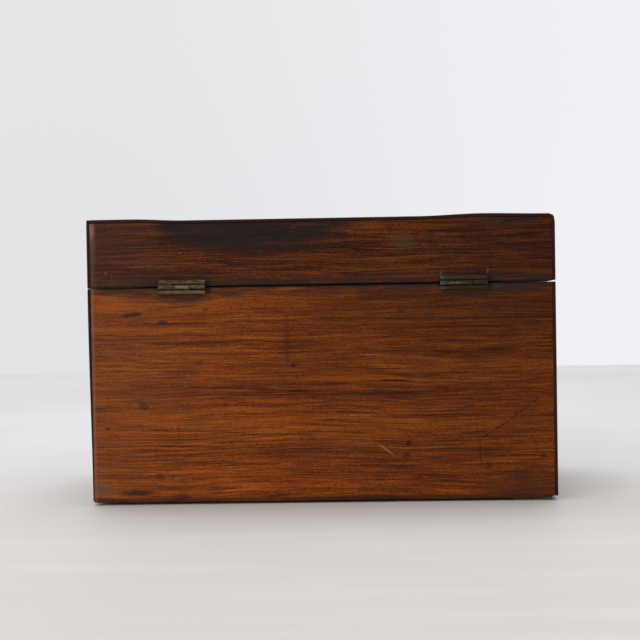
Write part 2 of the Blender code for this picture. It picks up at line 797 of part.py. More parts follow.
def make_key():
    """A pin key, with its bit down and its bow upright."""
    tip = lock_y(KEY_TIP)
    bow_y = lock_y(-KEY_REACH + BOW_RADIUS + BOW_WIRE)
    neck_y = bow_y + BOW_RADIUS
    shank = rod("key", (0, neck_y - NECK_OVERLAP, KEY_Z), (0, tip, KEY_Z), SHANK, STEEL)
    bit = block(
        "key_bit",
        (-BIT_HALF, lock_y(BIT_DEPTHS[0]), KEY_Z - BIT_RADIUS),
        (BIT_HALF, lock_y(BIT_DEPTHS[1]), KEY_Z),
    )
    ward = block(
        "key_ward",
        (-PAST, lock_y(WARD_DEPTHS[0]), KEY_Z - BIT_RADIUS - PAST),
        (PAST, lock_y(WARD_DEPTHS[1]), KEY_Z - BIT_RADIUS + WARD_HEIGHT),
    )
    cut(bit, ward)
    collar_profile = [(0, COLLAR_HALF)]
    collar_profile += arc((COLLAR, 0), COLLAR_HALF, 90, -90, 6)
    collar_profile += [(0, -COLLAR_HALF)]
    collar = turned("key_collar", collar_profile, (0, lock_y(-COLLAR_OUT), KEY_Z), (0, 1, 0))
    bpy.ops.mesh.primitive_torus_add(
        major_radius=BOW_RADIUS,
        minor_radius=BOW_WIRE,
        major_segments=28,
        minor_segments=10,
        rotation=(0, math.pi / 2, 0),
    )
    bow = bpy.context.object
    bow.name = "key_bow"
    bow.scale = (BOW_STRETCH, 1, 1)
    bpy.context.view_layer.objects.active = bow
    bpy.ops.object.transform_apply(location=False, rotation=True, scale=True)
    bow.location = (0, bow_y, KEY_Z)
    for group in list(bow.users_collection):
        group.objects.unlink(bow)
    CUTTERS.objects.link(bow)
    bow.hide_render = True
    bow.display_type = "WIRE"
    join(shank, bit, collar, bow)
    hang_on(axis_empty("key_axis", (0, FRONT_Y, KEY_Z)), [shank, bit, ward, collar, bow])


def make_link_plate(lid_front_board):
    """The plate under the lid's front edge, and the staple through it that enters the lock."""
    y_low, y_high = lock_y(LOCK_FRONT + GAP), lock_y(LOCK_BACK - GAP)
    plate = block(
        "link_plate", (-LINK_HALF, y_low, LID_Z), (LINK_HALF, y_high, LID_Z + LINK), BRASS
    )
    middle = lock_y(LOCK_MIDDLE)
    eye_low = RIM_Z - NOSE_TOP - NOSE_HEIGHT - EYE_PLAY
    staple = block(
        "link_staple",
        (STAPLE_X, middle - STAPLE_HALF, eye_low - STAPLE_WIRE),
        (STAPLE_X + STAPLE_WIDTH, middle + STAPLE_HALF, LID_Z + LINK),
        BRASS,
    )
    eye = block(
        "staple_eye",
        (STAPLE_X - PAST, middle - NOSE_HALF - EYE_PLAY, eye_low),
        (STAPLE_X + STAPLE_WIDTH + PAST, middle + NOSE_HALF + EYE_PLAY, RIM_Z - NOSE_TOP + EYE_PLAY),
    )
    cut(staple, eye)
    hole = block(
        "staple_hole",
        (STAPLE_X - GAP, middle - STAPLE_HALF - GAP, LID_Z - PAST),
        (STAPLE_X + STAPLE_WIDTH + GAP, middle + STAPLE_HALF + GAP, LID_Z + LINK + PAST),
    )
    cut(plate, hole)
    rebate = block(
        "link_rebate",
        (-LINK_HALF - GAP, y_low - GAP, LID_Z - PAST),
        (LINK_HALF + GAP, y_high + PAST, LID_Z + LINK + GAP),
    )
    cut(lid_front_board, rebate)
    moving = [plate, staple]
    for hand, sign in (("left", -1), ("right", 1)):
        head = (sign * LINK_SCREW_X, middle, LID_Z + HEAD_SUNK)
        hole = screw_hole(f"link_screw_{hand}_hole", head, (0, 0, 1))
        cut(plate, hole)
        cut(lid_front_board, hole)
        moving.append(wood_screw(f"link_screw_{hand}", head, (0, 0, 1), BRASS))
    return moving


def make_tea_caddy():
    walls, veneers = make_carcass()
    make_linings()
    make_foils()
    make_felt_pads()
    lid_boards, lid_veneers, lid_pieces = make_lid()
    make_inner_lid("left", -1)
    make_inner_lid("right", 1)
    moving = lid_pieces + list(lid_boards.values()) + list(lid_veneers.values())
    back = (walls["back"], veneers["back"])
    lid_back = (lid_boards["back"], lid_veneers["back"])
    for hand, sign in (("left", -1), ("right", 1)):
        moving += make_hinge(hand, sign * HINGE_X + HINGE_SHIFT, back, lid_back)
    make_lock(walls["front"], veneers["front"])
    moving += make_link_plate(lid_boards["front"])
    hang_on(axis_empty("lid_axis", (0, AXIS_Y, AXIS_Z)), moving)


make_tea_caddy()
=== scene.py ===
"""The looks of the tea caddy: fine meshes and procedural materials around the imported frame."""

import json
import math
import random

import bmesh
import bpy
import numpy as np
from mathutils import Matrix, Vector, noise


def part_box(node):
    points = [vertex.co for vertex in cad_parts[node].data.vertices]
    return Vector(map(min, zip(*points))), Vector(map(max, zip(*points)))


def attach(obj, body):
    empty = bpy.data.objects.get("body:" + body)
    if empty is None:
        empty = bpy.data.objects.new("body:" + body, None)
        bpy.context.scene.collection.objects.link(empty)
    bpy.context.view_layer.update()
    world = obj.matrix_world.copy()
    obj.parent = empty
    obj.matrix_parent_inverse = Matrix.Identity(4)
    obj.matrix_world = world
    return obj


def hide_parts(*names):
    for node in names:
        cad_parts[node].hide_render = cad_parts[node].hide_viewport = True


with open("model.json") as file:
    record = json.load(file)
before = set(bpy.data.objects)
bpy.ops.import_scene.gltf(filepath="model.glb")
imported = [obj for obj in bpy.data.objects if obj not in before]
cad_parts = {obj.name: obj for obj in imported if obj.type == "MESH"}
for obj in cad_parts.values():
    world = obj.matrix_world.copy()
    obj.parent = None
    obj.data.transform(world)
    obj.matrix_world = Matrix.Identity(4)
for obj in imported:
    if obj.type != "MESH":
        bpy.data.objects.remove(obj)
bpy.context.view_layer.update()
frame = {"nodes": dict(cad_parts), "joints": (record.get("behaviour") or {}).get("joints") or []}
NODES = frame["nodes"]

MM = 0.001
VENEER_EXTRA = 0.3 * MM  # the visible veneers reach in over the glue line

# The axes along, across and through the grain, as places in (x, y, z)
GRAIN_X = (0, 2, 1)
GRAIN_X_FLAT = (0, 1, 2)
GRAIN_Y = (1, 2, 0)
GRAIN_Z = (2, 0, 1)


# Places that follow from the frame

BACK_LOW, BACK_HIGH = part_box("back_veneer")
TOP_LOW, TOP_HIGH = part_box("lid_top_veneer")
LID_LOW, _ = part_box("lid_back_veneer")
BODY_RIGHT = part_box("right_veneer")[1].x
JOINTS = {joint["name"]: joint for joint in frame["joints"]}
HINGE_AXIS = Vector(JOINTS["lid_hinge"]["pos_m"])
KEY_AXIS = Vector(JOINTS["key_turn"]["pos_m"])

# The same in millimetres, for the materials
FOOT, RIM = BACK_LOW.z * 1000, BACK_HIGH.z * 1000
LID_RIM = LID_LOW.z * 1000
BACK = BACK_HIGH.y * 1000
SEAM = HINGE_AXIS.z * 1000


# Materials


def srgb(red, green, blue):
    """Screen values from 0 to 255 as the linear values that shaders use."""

    def linear(value):
        value /= 255
        return value / 12.92 if value <= 0.04045 else ((value + 0.055) / 1.055) ** 2.4

    return (linear(red), linear(green), linear(blue), 1.0)


class Field:
    """What a shader node gives at each place of a surface."""

    def __init__(self, graph, socket):
        self.graph, self.socket = graph, socket

    def __add__(self, other):
        return self.graph.math("ADD", self, other)

    def __sub__(self, number):
        return self + -number

    def __mul__(self, other):
        return self.graph.math("MULTIPLY", self, other)

    def __abs__(self):
        return self.graph.math("ABSOLUTE", self)


class Graph:
    """The shader nodes of a material or of the world, written as expressions of fields."""

    def __init__(self, owner):
        owner.use_nodes = True
        self.nodes, self.links = owner.node_tree.nodes, owner.node_tree.links
        self.nodes.clear()

    def put(self, socket, value):
        """Links a value that is a field, and sets one that is a number or a colour."""
        if isinstance(value, Field):
            self.links.new(value.socket, socket)
        else:
            socket.default_value = value

    def new(self, kind, *values, **settings):
        node = self.nodes.new(kind)
        for name, value in settings.items():
            setattr(node, name, value)
        for socket, value in zip(node.inputs, values):
            self.put(socket, value)
        return node

    def out(self, node, which=0):
        return Field(self, node.outputs[which])

    def math(self, operation, *values):
        return self.out(self.new("ShaderNodeMath", *values, operation=operation))

    def most(self, a, b):
        return self.math("MAXIMUM", a, b)

    def vector(self, x, y, z=0.0):
        return self.out(self.new("ShaderNodeCombineXYZ", x, y, z))

    def noise(self, *place, detail=2.0, roughness=0.5, distortion=0.0):
        """Noise at a place of two or three parts, which are fields or numbers."""
        node = self.nodes.new("ShaderNodeTexNoise")
        values = {
            "Vector": self.vector(*place),
            "Scale": 1.0,
            "Detail": detail,
            "Roughness": roughness,
            "Distortion": distortion,
        }
        for name, value in values.items():
            self.put(node.inputs[name], value)
        return self.out(node)

    def cells(self, *place):
        node = self.nodes.new("ShaderNodeTexVoronoi")
        self.put(node.inputs["Vector"], self.vector(*place))
        self.put(node.inputs["Scale"], 1.0)
        return self.out(node, "Distance")

    def span(self, value, low, high, to_low=0.0, to_high=1.0):
        """A smooth step from to_low at low to to_high at high."""
        values = (value, low, high, to_low, to_high)
        return self.out(self.new("ShaderNodeMapRange", *values, interpolation_type="SMOOTHSTEP"))

    def near(self, value, place, reach):
        """1 where the value is at the place, fading to 0 a reach away."""
        return self.span(abs(value - place), 0.0, reach, 1.0, 0.0)

    def ramp(self, value, *stops):
        node = self.new("ShaderNodeValToRGB", value)
        elements = node.color_ramp.elements
        while len(elements) < len(stops):
            elements.new(1.0)
        for element, (place, colour) in zip(elements, stops):
            element.position = place
            element.color = srgb(*colour)
        return self.out(node)

    def mix(self, factor, a, b, blend="MIX"):
        node = self.new("ShaderNodeMix", data_type="RGBA", blend_type=blend)
        for index, value in ((0, factor), (6, a), (7, b)):
            self.put(node.inputs[index], value)
        return self.out(node, 2)

    def millimetres(self):
        """The place in the row frame: x, y and z in millimetres."""
        position = self.out(self.new("ShaderNodeTexCoord"), "Object")
        parts = self.new("ShaderNodeSeparateXYZ", position)
        return [self.out(parts, i) * 1000.0 for i in range(3)]

    def ellipse(self, plane, mark, strength=1.0):
        """The strength inside a mark (x, y, half width, half height, tilt), and 0 outside."""
        x, y, half_w, half_h, tilt = mark
        turn = (0, 0, math.radians(tilt))
        values = (plane, (x, y, 0), turn, (half_w, half_h, 1))
        place = self.out(self.new("ShaderNodeMapping", *values, vector_type="TEXTURE"))
        length = self.new("ShaderNodeVectorMath", place, operation="LENGTH")
        return self.span(self.out(length, "Value"), 1.0, 0.4, 0.0, strength)

    def marks(self, plane, marks):
        """The strongest of several marks, each (x, y, half width, half height, tilt, strength).

        Each one's place depends by a hair on those before it. They are then worked out one after
        another, which keeps a long list within the renderer's stack.
        """
        hair = (1e-6, 1e-6, 1e-6)
        total = None
        for *mark, strength in marks:
            values = (total or (0, 0, 0), hair, plane)
            place = self.new("ShaderNodeVectorMath", *values, operation="MULTIPLY_ADD")
            one = self.ellipse(self.out(place), mark, strength)
            total = self.most(total, one) if total else one
        return total


class Finish(Graph):
    """The nodes of one material, with its shader and the colour laid on so far."""

    def __init__(self, name):
        self.material = bpy.data.materials.new(name)
        super().__init__(self.material)
        self.shader = self.new("ShaderNodeBsdfPrincipled")
        self.new("ShaderNodeOutputMaterial", self.out(self.shader))

    def shade(self, factor):
        """Multiplies the colour."""
        self.colour = self.mix(1.0, self.colour, factor, blend="MULTIPLY")

    def lay(self, where, colour, strength=None):
        """Lays a screen colour over the colour, where and as strongly as a field says."""
        amount = where if strength is None else where * strength
        self.colour = self.mix(amount, self.colour, srgb(*colour))

    def finish(self, rough, height, bump, metallic=0.0, **sockets):
        """Sets the shader's sockets and its bump from the height, and returns the material."""
        self.put(self.shader.inputs["Base Color"], self.colour)
        self.put(self.shader.inputs["Roughness"], rough)
        self.shader.inputs["Metallic"].default_value = metallic
        for name, value in sockets.items():
            self.shader.inputs[name.replace("_", " ")].default_value = value
        node = self.nodes.new("ShaderNodeBump")
        for name, value in (("Strength", bump), ("Distance", 0.3 * MM), ("Height", height)):
            self.put(node.inputs[name], value)
        self.links.new(node.outputs[0], self.shader.inputs["Normal"])
        return self.material


def crack_marks(points, half_width, strength):
    """The marks of a line through the points, each long enough to run into the next."""
    overlap = 1.7
    marks = []
    for (x0, y0), (x1, y1) in zip(points, points[1:]):
        half = math.hypot(x1 - x0, y1 - y0) / 2
        tilt = math.degrees(math.atan2(y1 - y0, x1 - x0))
        marks.append(((x0 + x1) / 2, (y0 + y1) / 2, half * overlap, half_width, tilt, strength))
    return marks


# Marks on the back, in millimetres: across, up, half width, half height, tilt in degrees, strength

# Stains and knots of the body
BODY_STAINS = [
    (93, 94, 7, 1.5, -6, 0.8), (78, 90, 3.5, 1.5, 0, 0.7), (88, 49, 3.5, 2.5, 0, 0.5),
    (48, 49, 2, 1, 8, 0.6), (106, 38, 2, 1, 20, 0.75), (81, 14, 3, 2, 0, 0.5),
    (92, 6, 11, 1.5, 0, 0.75), (70, 4, 6, 2, 0, 0.6), (53, 7, 5, 3, 0, 0.35),
    (22, 4, 9, 1, -4, 0.6), (57, 96, 2, 1, 0, 0.6), (60, 70, 3, 2, 0, 0.4),
    (12, 62, 2, 1, 35, 0.6), (14, 68, 2, 1.5, 0, 0.8), (-39, 94, 3, 1, 15, 0.6),
    (-53, 92, 4, 1.5, 0, 0.4), (-86, 94, 5, 1, 12, 0.5), (-72, 47, 4, 1, 0, 0.5),
    (-42, 29, 2, 2, 0, 0.9), (-41, 23, 2.5, 2, 0, 0.6), (-81, 18, 2, 1.5, 30, 0.7),
    (-108, 22, 2, 1.5, 0, 0.85), (-100, 12, 9, 5, 0, 0.25),
]

# Long grain lines of the body
BODY_LINES = [
    (60, 90, 54, 0.6, 0, 0.75), (-70, 86, 40, 0.5, 0, 0.4), (40, 80, 66, 0.5, 0, 0.75),
    (-62, 80, 30, 0.6, 1, 0.6), (-84, 75, 12, 0.8, 0, 0.8), (-80, 69, 24, 0.5, 0, 0.6),
    (70, 63, 40, 0.5, 1, 0.5), (62, 58, 46, 0.6, 1, 0.85), (14, 56, 34, 0.7, 2, 0.95),
    (-34, 60, 16, 0.9, 1, 0.9), (-78, 59, 36, 0.5, 0, 0.7), (-32, 54, 26, 0.7, 1, 0.9),
    (-84, 50, 28, 0.5, 1, 0.6), (-10, 45, 34, 0.6, 1, 0.85), (-62, 43, 26, 0.6, 2, 0.7),
    (78, 37, 30, 0.7, 1, 0.85), (30, 35, 34, 0.6, 2, 0.7), (70, 29, 40, 0.7, 1, 0.85),
    (6, 27, 44, 0.5, 1, 0.6), (66, 22, 36, 0.5, 1, 0.6), (-90, 32, 20, 0.6, 0, 0.6),
    (-40, 12, 44, 0.5, -1, 0.4),
]

# Darker greyish patches around the hinges, along the seam and at the corners at -X, and painted
# shadow at the dark ends of the hinge recesses
BODY_PATCHES_AND_SHADOWS = [
    (68, 102, 22, 4, 0, 0.8), (82, 105, 24, 3, 0, 0.8), (55, 105.5, 2, 3, 0, 1.3),
    (46, 104, 12, 2.5, 4, 0.7), (-92, 104, 22, 3, 0, 0.7), (-83, 105, 2, 3, 0, 1.3),
    (-70, 102, 18, 3, 0, 0.5), (-100, 8, 22, 12, 0, 0.4), (100, 105, 16, 2, 0, 0.6),
]
LID_PATCHES_AND_SHADOWS = [
    (80, 111, 28, 4, 0, 0.8), (64, 113, 16, 3, 0, 0.6), (55, 109.5, 2, 3, 0, 1.3),
    (20, 110, 44, 2.5, 0, 0.6), (-30, 110, 40, 2.5, 0, 0.6), (-83, 109.5, 2, 2.5, 0, 1.3),
    (-92, 110, 24, 3, 0, 0.7), (-70, 113, 16, 2, 0, 0.4), (-88, 137, 24, 4, -3, 0.5),
]

# Pale nicks beside the hinge at -X and at the lid's upper edge
LID_TICKS = [(-59, 112, 0.5, 2, 0, 0.5), (-82, 113, 0.5, 2, 4, 0.5), (-87, 137, 3, 0.5, -8, 0.3)]

# The points of the crack near the foot at -X, and two pale scratches
CRACK = [(-77, 19), (-77, 30), (-83, 34), (-92, 40), (-103, 48), (-106, 51)]
SCRATCHES = [(-31, 26, 7, 0.5, 37, 0.75), (-20, 29, 7, 0.5, 0, 0.4)]

# Stains of the lid
LID_STAINS = [
    (-34, 135, 3, 1, 0, 0.5), (-54, 131, 4, 2.5, 0, 0.5), (-56, 126, 4, 1.5, 0, 0.5),
    (4, 124, 4, 1, 0, 0.6), (-95, 125, 8, 1.5, 4, 0.5), (-95, 137, 14, 1.5, -6, 0.5),
]

# The arched figure and other grain lines of the lid
LID_FIGURE = [
    (73, 122, 9, 0.6, -17, 0.8), (48, 122, 9, 0.6, 17, 0.8), (60, 125, 7, 0.7, 0, 0.7),
    (76, 119, 11, 0.6, -13, 0.6), (44, 119, 11, 0.6, 13, 0.6), (96, 125, 14, 0.7, -3, 0.8),
    (98, 122, 16, 0.7, 0, 0.8), (98, 117, 15, 0.7, 0, 0.6), (60, 115, 34, 0.6, 0, 0.55),
    (20, 119, 30, 0.7, 2, 0.7), (10, 125, 30, 0.6, -2, 0.7), (-20, 121, 34, 0.6, -2, 0.7),
    (-60, 123, 26, 0.7, 3, 0.7), (-92, 126, 20, 0.8, 5, 0.7), (-70, 117, 36, 0.6, 1, 0.6),
    (-50, 131, 40, 0.6, 3, 0.6),
]

# Pale specks of the lid, each (across, up)
LID_SPECKS = [(106, 115), (111, 128), (69, 124), (13, 136)]


def wood_field(graph, axes, seed):
    """Places along, across and through the grain, with the slight wander of real grain."""
    place = graph.millimetres()
    along, across, through = (place[axis] for axis in axes)
    wander = graph.noise(along * 0.008, across * 0.02, seed)
    return place, along, across + (wander - 0.5) * 9.0, through


def grain(graph, field, seed, fine, coarse):
    """A noise drawn out along the grain. Its pitch per millimetre is fine along, coarse across."""
    along, across, through = field
    place = (along * fine + seed, across * coarse, through * coarse)
    return graph.noise(*place, detail=3.0, roughness=0.6)


def rosewood(name, axes, seed, gain=1.0, detail=None, contrast=1.0):
    """Old waxed rosewood. detail(graph, place) adds what is peculiar to one face."""
    graph = Finish(name)
    place, *field = wood_field(graph, axes, seed)
    along, across, _ = field
    # offset of the seed, pitch along, pitch across, weight
    plans = (
        (0, 0.005, 0.06, 0.55),
        (7, 0.015, 0.4, 0.6),
        (13, 0.02, 1.3, 1.0),
        (17, 0.08, 2.4, 1.0),
        (19, 0.6, 2.2, 0.85),
    )
    layers = [grain(graph, field, seed + offset, *pitch) for offset, *pitch, _ in plans]
    tone = 0.5
    for layer, (*_, weight) in zip(layers, plans):
        tone = (layer - 0.5) * (weight * contrast) + tone
    graph.colour = graph.ramp(
        tone,
        (0.1, (62, 26, 3)),
        (0.4, (110, 48, 3)),
        (0.62, (139, 65, 7)),
        (0.95, (168, 94, 24)),
    )
    vein = graph.span(abs(grain(graph, field, seed + 23, 0.004, 0.2) - 0.5), 0.0, 0.02, 1.0, 0.0)
    vein = vein * graph.span(grain(graph, field, seed + 31, 0.012, 0.1), 0.38, 0.56)
    pore = graph.span(grain(graph, field, seed + 41, 0.12, 1.9), 0.58, 0.7)
    fleck = graph.span(graph.cells(along * 0.11, across * 0.5, seed), 0.2, 0.08)
    dark = graph.most(graph.most(vein * 0.6, pore * 0.6), fleck * 0.45)
    graph.lay(dark, (36, 15, 3))
    haze = graph.noise(along * 0.035, across * 0.06, seed + 3, detail=3.0)
    graph.lay(graph.span(haze, 0.48, 0.72, 0.0, 0.35), (88, 42, 10))
    if detail:
        detail(graph, place)
    graph.shade((gain, gain, gain, 1.0))
    wax = graph.noise(along * 0.1, across * 0.14, seed + 5)
    rough = graph.span(wax + dark * 0.3, 0.3, 0.8, 0.36, 0.56)
    height = dark * -0.8 + layers[3] * 0.5 + wax * 0.5
    return graph.finish(rough, height, bump=0.25, Specular_IOR_Level=0.15)


def plane_of(graph, place, wobble=0.8):
    """The place on the back, across and up, shaken a little so that marks have uneven edges."""
    x, _, z = place
    shift = (graph.noise(x * 0.35, z * 0.9) - 0.5) * (wobble * 2)
    return graph.vector(x + shift, z + shift)


def line_plane_of(graph, place):
    """The place on the back with the long wander of the grain, for its lines."""
    x, _, z = place
    wander = graph.noise(x * 0.03, z * 0.02)
    ripple = graph.noise(x * 0.25, z * 0.1)
    return graph.vector(x, z + ((wander - 0.5) * 3.0 + ripple * 0.7))


def fade_along(graph, place, strength):
    """Makes a line stronger in some places than in others."""
    x, _, z = place
    uneven = graph.noise(x * 0.07, z * 0.3, detail=3.0)
    return strength * graph.span(uneven, 0.38, 0.6, 0.3, 1.0)


def lay_patches_and_shadows(graph, plane, marks, uneven):
    """Dark greyish patches that are thicker in some places, some of them painted shadow."""
    amount = graph.marks(plane, marks) * graph.span(uneven, 0.3, 0.62, 0.45, 1.0)
    graph.lay(amount, (50, 36, 32))


def body_back_detail(graph, place):
    """What is peculiar to the body's back, from its broad tones and painted light to single marks.
    """
    x, _, z = place
    plane = plane_of(graph, place)
    # Broad tones: darker high up towards -X; lighter towards +X, partly the wood's own tone and
    # partly painted light from the lamps on that side; and lighter towards the foot, painted light
    # that stands in for light thrown up by the floor.
    upper = graph.span(z, 66.0, 96.0) * graph.span(x, 70.0, -40.0)
    shade = graph.span(x, -125.0, 90.0, 0.74, 1.16) * graph.span(upper, 0.0, 1.0, 1.0, 0.6)
    graph.shade(shade * graph.span(z, 60.0, 0.0, 1.0, 1.5))
    # Painted reflection: a pale wash towards +X that stands in for the lamp's sheen on the wax.
    graph.lay(graph.span(x, 20.0, 115.0), (122, 84, 56), 0.16)
    orange = graph.ellipse(plane, (104, 99, 11, 5, -8))
    graph.lay(orange, (178, 84, 10), 0.4)
    red_band = graph.ellipse(plane, (17, 80, 2, 17, 0))
    graph.lay(red_band, (92, 26, 22), 0.55)
    lines = fade_along(graph, place, graph.marks(line_plane_of(graph, place), BODY_LINES))
    graph.lay(lines, (40, 18, 6))
    graph.lay(graph.marks(plane, BODY_STAINS), (42, 26, 24))
    graph.lay(graph.marks(plane, crack_marks(CRACK, 0.42, 0.8)), (44, 20, 14))
    graph.lay(graph.marks(plane, SCRATCHES), (176, 118, 66))
    grime = graph.noise(x * 0.09, z * 0.4, detail=4.0)
    rim = graph.span(z, RIM - 5.5, RIM - 0.4) * graph.span(grime, 0.34, 0.62)
    graph.lay(rim, (48, 34, 32), 0.75)
    # Darker patches around the hinges, with painted shadow at the ends of the hinge recesses.
    lay_patches_and_shadows(graph, plane, BODY_PATCHES_AND_SHADOWS, grime)
    # Painted shadow of the seam: a dark line along the top edge.
    painted_seam_shadow = graph.span(z, RIM - 0.9, RIM - 0.3, 0.0, 0.8)
    graph.lay(painted_seam_shadow, (22, 14, 12))
    graph.lay(graph.span(z, FOOT + 2.4, FOOT + 0.3), (40, 22, 18), 0.7)
    # Worn edge at +X with a painted highlight: a pale line just inside the rounded edge.
    edge_wear_and_highlight = graph.near(x, 112.6, 1.2)
    graph.lay(edge_wear_and_highlight, (150, 104, 84), 0.5)
    worn_corner = graph.ellipse(plane, (109, 8, 6, 6, 0))
    graph.lay(worn_corner, (104, 88, 78), 0.4)


def lid_back_detail(graph, place):
    """What is peculiar to the lid's back: the dark stain, the arched figure, stains and wear, with
    painted shade, a painted reflection and painted highlights.
    """
    x, _, z = place
    plane = plane_of(graph, place, 1.6)
    # Darker towards -X: partly the wood's own tone and partly painted shade, away from the lamps
    # at +X.
    graph.shade(graph.span(x, -125.0, -20.0, 0.5, 1.0))
    graph.shade((0.54, 0.5, 0.62, 1.0))
    # Painted reflection: a pale greyish wash towards +X that stands in for the lamp's sheen on the
    # wax.
    graph.lay(graph.span(x, 60.0, 115.0), (76, 50, 44), 0.3)
    band = graph.ellipse(plane, (92, 121, 20, 3.5, 0))
    graph.lay(band, (108, 52, 26), 0.4)
    figure = graph.marks(line_plane_of(graph, place), LID_FIGURE)
    graph.lay(fade_along(graph, place, figure), (38, 20, 14))
    warm = graph.ellipse(plane, (60.5, 123.5, 6, 3, 0))
    graph.lay(warm, (110, 46, 30), 0.45)
    paler = graph.span(x, 79.2, 79.8) * graph.span(z, 118.0, 130.0)
    graph.lay(paler, (112, 62, 46), 0.14)
    broad, narrow = (32, 143, 74, 25, -2), (62, 139, 34, 14, 6)
    stain = graph.most(graph.ellipse(plane, broad), graph.ellipse(plane, narrow))
    stain = graph.span(stain, 0.1, 0.8) * graph.span(x, 83.0, 74.0)
    uneven = graph.noise(x * 0.1, z * 0.5, detail=3.0)
    stain = stain * graph.span(uneven, 0.25, 0.55, 0.6, 1.0)
    graph.lay(stain, (26, 28, 29), 0.84)
    green_patch = graph.ellipse(plane, (-40, 128, 10, 5, 8))
    graph.lay(green_patch, (96, 82, 56), 0.3)
    graph.lay(graph.marks(plane, LID_STAINS), (36, 22, 20))
    specks = graph.marks(plane, [(*spot, 0.6, 0.6, 0, 0.5) for spot in LID_SPECKS])
    graph.lay(specks, (150, 130, 112))
    grime = graph.noise(x * 0.08, z * 0.4, detail=4.0)
    rim = graph.span(z, LID_RIM + 6.0, LID_RIM + 0.4) * graph.span(grime, 0.3, 0.6)
    graph.lay(rim, (50, 38, 36), 0.7)
    # Darker patches around the hinges, with painted shadow at the ends of the hinge recesses.
    lay_patches_and_shadows(graph, plane, LID_PATCHES_AND_SHADOWS, grime)
    # Painted shadow of the seam: a dark line along the lower edge.
    painted_seam_shadow = graph.span(z, LID_RIM + 0.9, LID_RIM + 0.3, 0.0, 0.8)
    graph.lay(painted_seam_shadow, (22, 14, 12))
    graph.lay(graph.marks(plane, LID_TICKS), (140, 118, 98))
    # Worn edge at +X with a painted highlight, brightest near the top, and a painted highlight on
    # the worn upper corner.
    edge_wear_and_highlight = graph.near(x, 112.4, 2.6) * graph.span(z, 106.0, 140.0, 0.15, 0.6)
    graph.lay(edge_wear_and_highlight, (134, 100, 90))
    highlight = graph.ellipse(plane, (113, 136, 2.5, 6, 0))
    graph.lay(highlight, (180, 150, 140), 0.35)


def edge_detail(graph, place):
    """The top and the side veneers: redder, with a dark edge where they end at the back."""
    graph.lay(0.3, (64, 26, 20))
    edge = graph.span(place[1], BACK - 1.3, BACK - 0.4)
    graph.lay(edge, (44, 18, 20), 0.85)


def plain_wood(name, axes, seed, dark, light, rough, bump=0.2):
    """Bare or thinly finished wood between two screen colours."""
    graph = Finish(name)
    _, *field = wood_field(graph, axes, seed)
    broad = grain(graph, field, seed, 0.01, 0.2)
    fine = grain(graph, field, seed + 9, 0.06, 1.6)
    graph.colour = graph.ramp(broad * 0.6 + fine * 0.4, (0.3, dark), (0.68, light))
    pore = graph.span(grain(graph, field, seed + 19, 0.12, 2.6), 0.58, 0.7)
    graph.lay(pore, dark, 0.35)
    rough_map = graph.span(broad, 0.3, 0.7, rough - 0.08, rough + 0.08)
    return graph.finish(rough_map, fine * 0.6 + pore * -0.6, bump=bump)


def brass(name, seed, base, tarnish, hinge=False):
    """Aged brass between two screen colours, with fine scratches and grime."""
    graph = Finish(name)
    x, y, z = graph.millimetres()
    cloud = graph.noise(x * 0.35 + seed, y, z, detail=4.0)
    streak = graph.noise(x * 0.5, y * 5.0, z * 5.0, detail=3.0)
    speck = graph.noise(x * 2.4, y * 2.4, z * 2.4)
    graph.colour = graph.mix(graph.span(cloud, 0.35, 0.65), srgb(*base), srgb(*tarnish))
    graph.lay(graph.span(streak, 0.5, 0.75, 0.0, 0.5), (60, 50, 36))
    grime = graph.span(speck, 0.58, 0.7, 0.0, 0.6)
    if hinge:
        grime = hinge_detail(graph, (x, y, z), cloud, grime)
    graph.lay(grime, (20, 16, 11))
    rough = graph.span(cloud + grime, 0.3, 1.2, 0.42, 0.8)
    return graph.finish(rough, speck * 0.5 + streak * 0.4, bump=0.25, metallic=0.75)


def hinge_detail(graph, place, cloud, grime):
    """The rubbed middle knuckles, a painted highlight on the lower bar at +X, and the hinge at -X,
    darker all over and with green corrosion. Returns the fuller grime.
    """
    x, y, z = place
    middle_x, spread, half_knuckle = -1.0, 69.0, 4.1  # of the two hinges, in millimetres
    groove, bar_edge = 1.15, 2.9  # heights from the axis
    to_right = graph.span(x, -10.0, 10.0)  # 0 on the hinge at -X and 1 on the one at +X
    to_left = graph.span(x, 10.0, -10.0)
    reach = abs(z - SEAM)
    grime = graph.most(grime, graph.near(reach, groove, 0.35) * 0.85)
    grime = graph.most(grime, graph.span(reach, bar_edge, 3.6, 0.0, 0.5))
    middle = graph.near(abs(x - middle_x), spread, half_knuckle)
    rubbed = graph.near(reach, 0.0, 1.0) * graph.span(middle, 0.0, 0.4)
    rubbed = rubbed * graph.span(x, -10.0, 10.0, 0.15, 0.6)
    graph.lay(rubbed * graph.span(cloud, 0.3, 0.6, 0.6, 1.0), (160, 138, 124))
    # Painted highlight: the lower bar of the hinge at +X made lighter, where light falls on its
    # slanted face.
    lower_bar_highlight = graph.span(z, 105.6, 105.0) * graph.span(x, 40.0, 80.0, 0.9, 0.3)
    graph.lay(lower_bar_highlight * to_right, (140, 108, 62))
    # Darker all over on the hinge at -X.
    graph.lay(graph.span(x, 10.0, -10.0, 0.0, 0.75), (46, 38, 24))
    gilt = graph.near(reach, 0.0, 0.7) * graph.near(x, -66.0, 6.0) * graph.span(y, 72.0, 74.0)
    graph.lay(gilt, (150, 124, 58), 0.7)
    green = graph.span(x, -63.0, -58.0) * graph.span(cloud, 0.42, 0.55) * to_left
    graph.lay(green, (104, 112, 96), 0.7)
    return grime


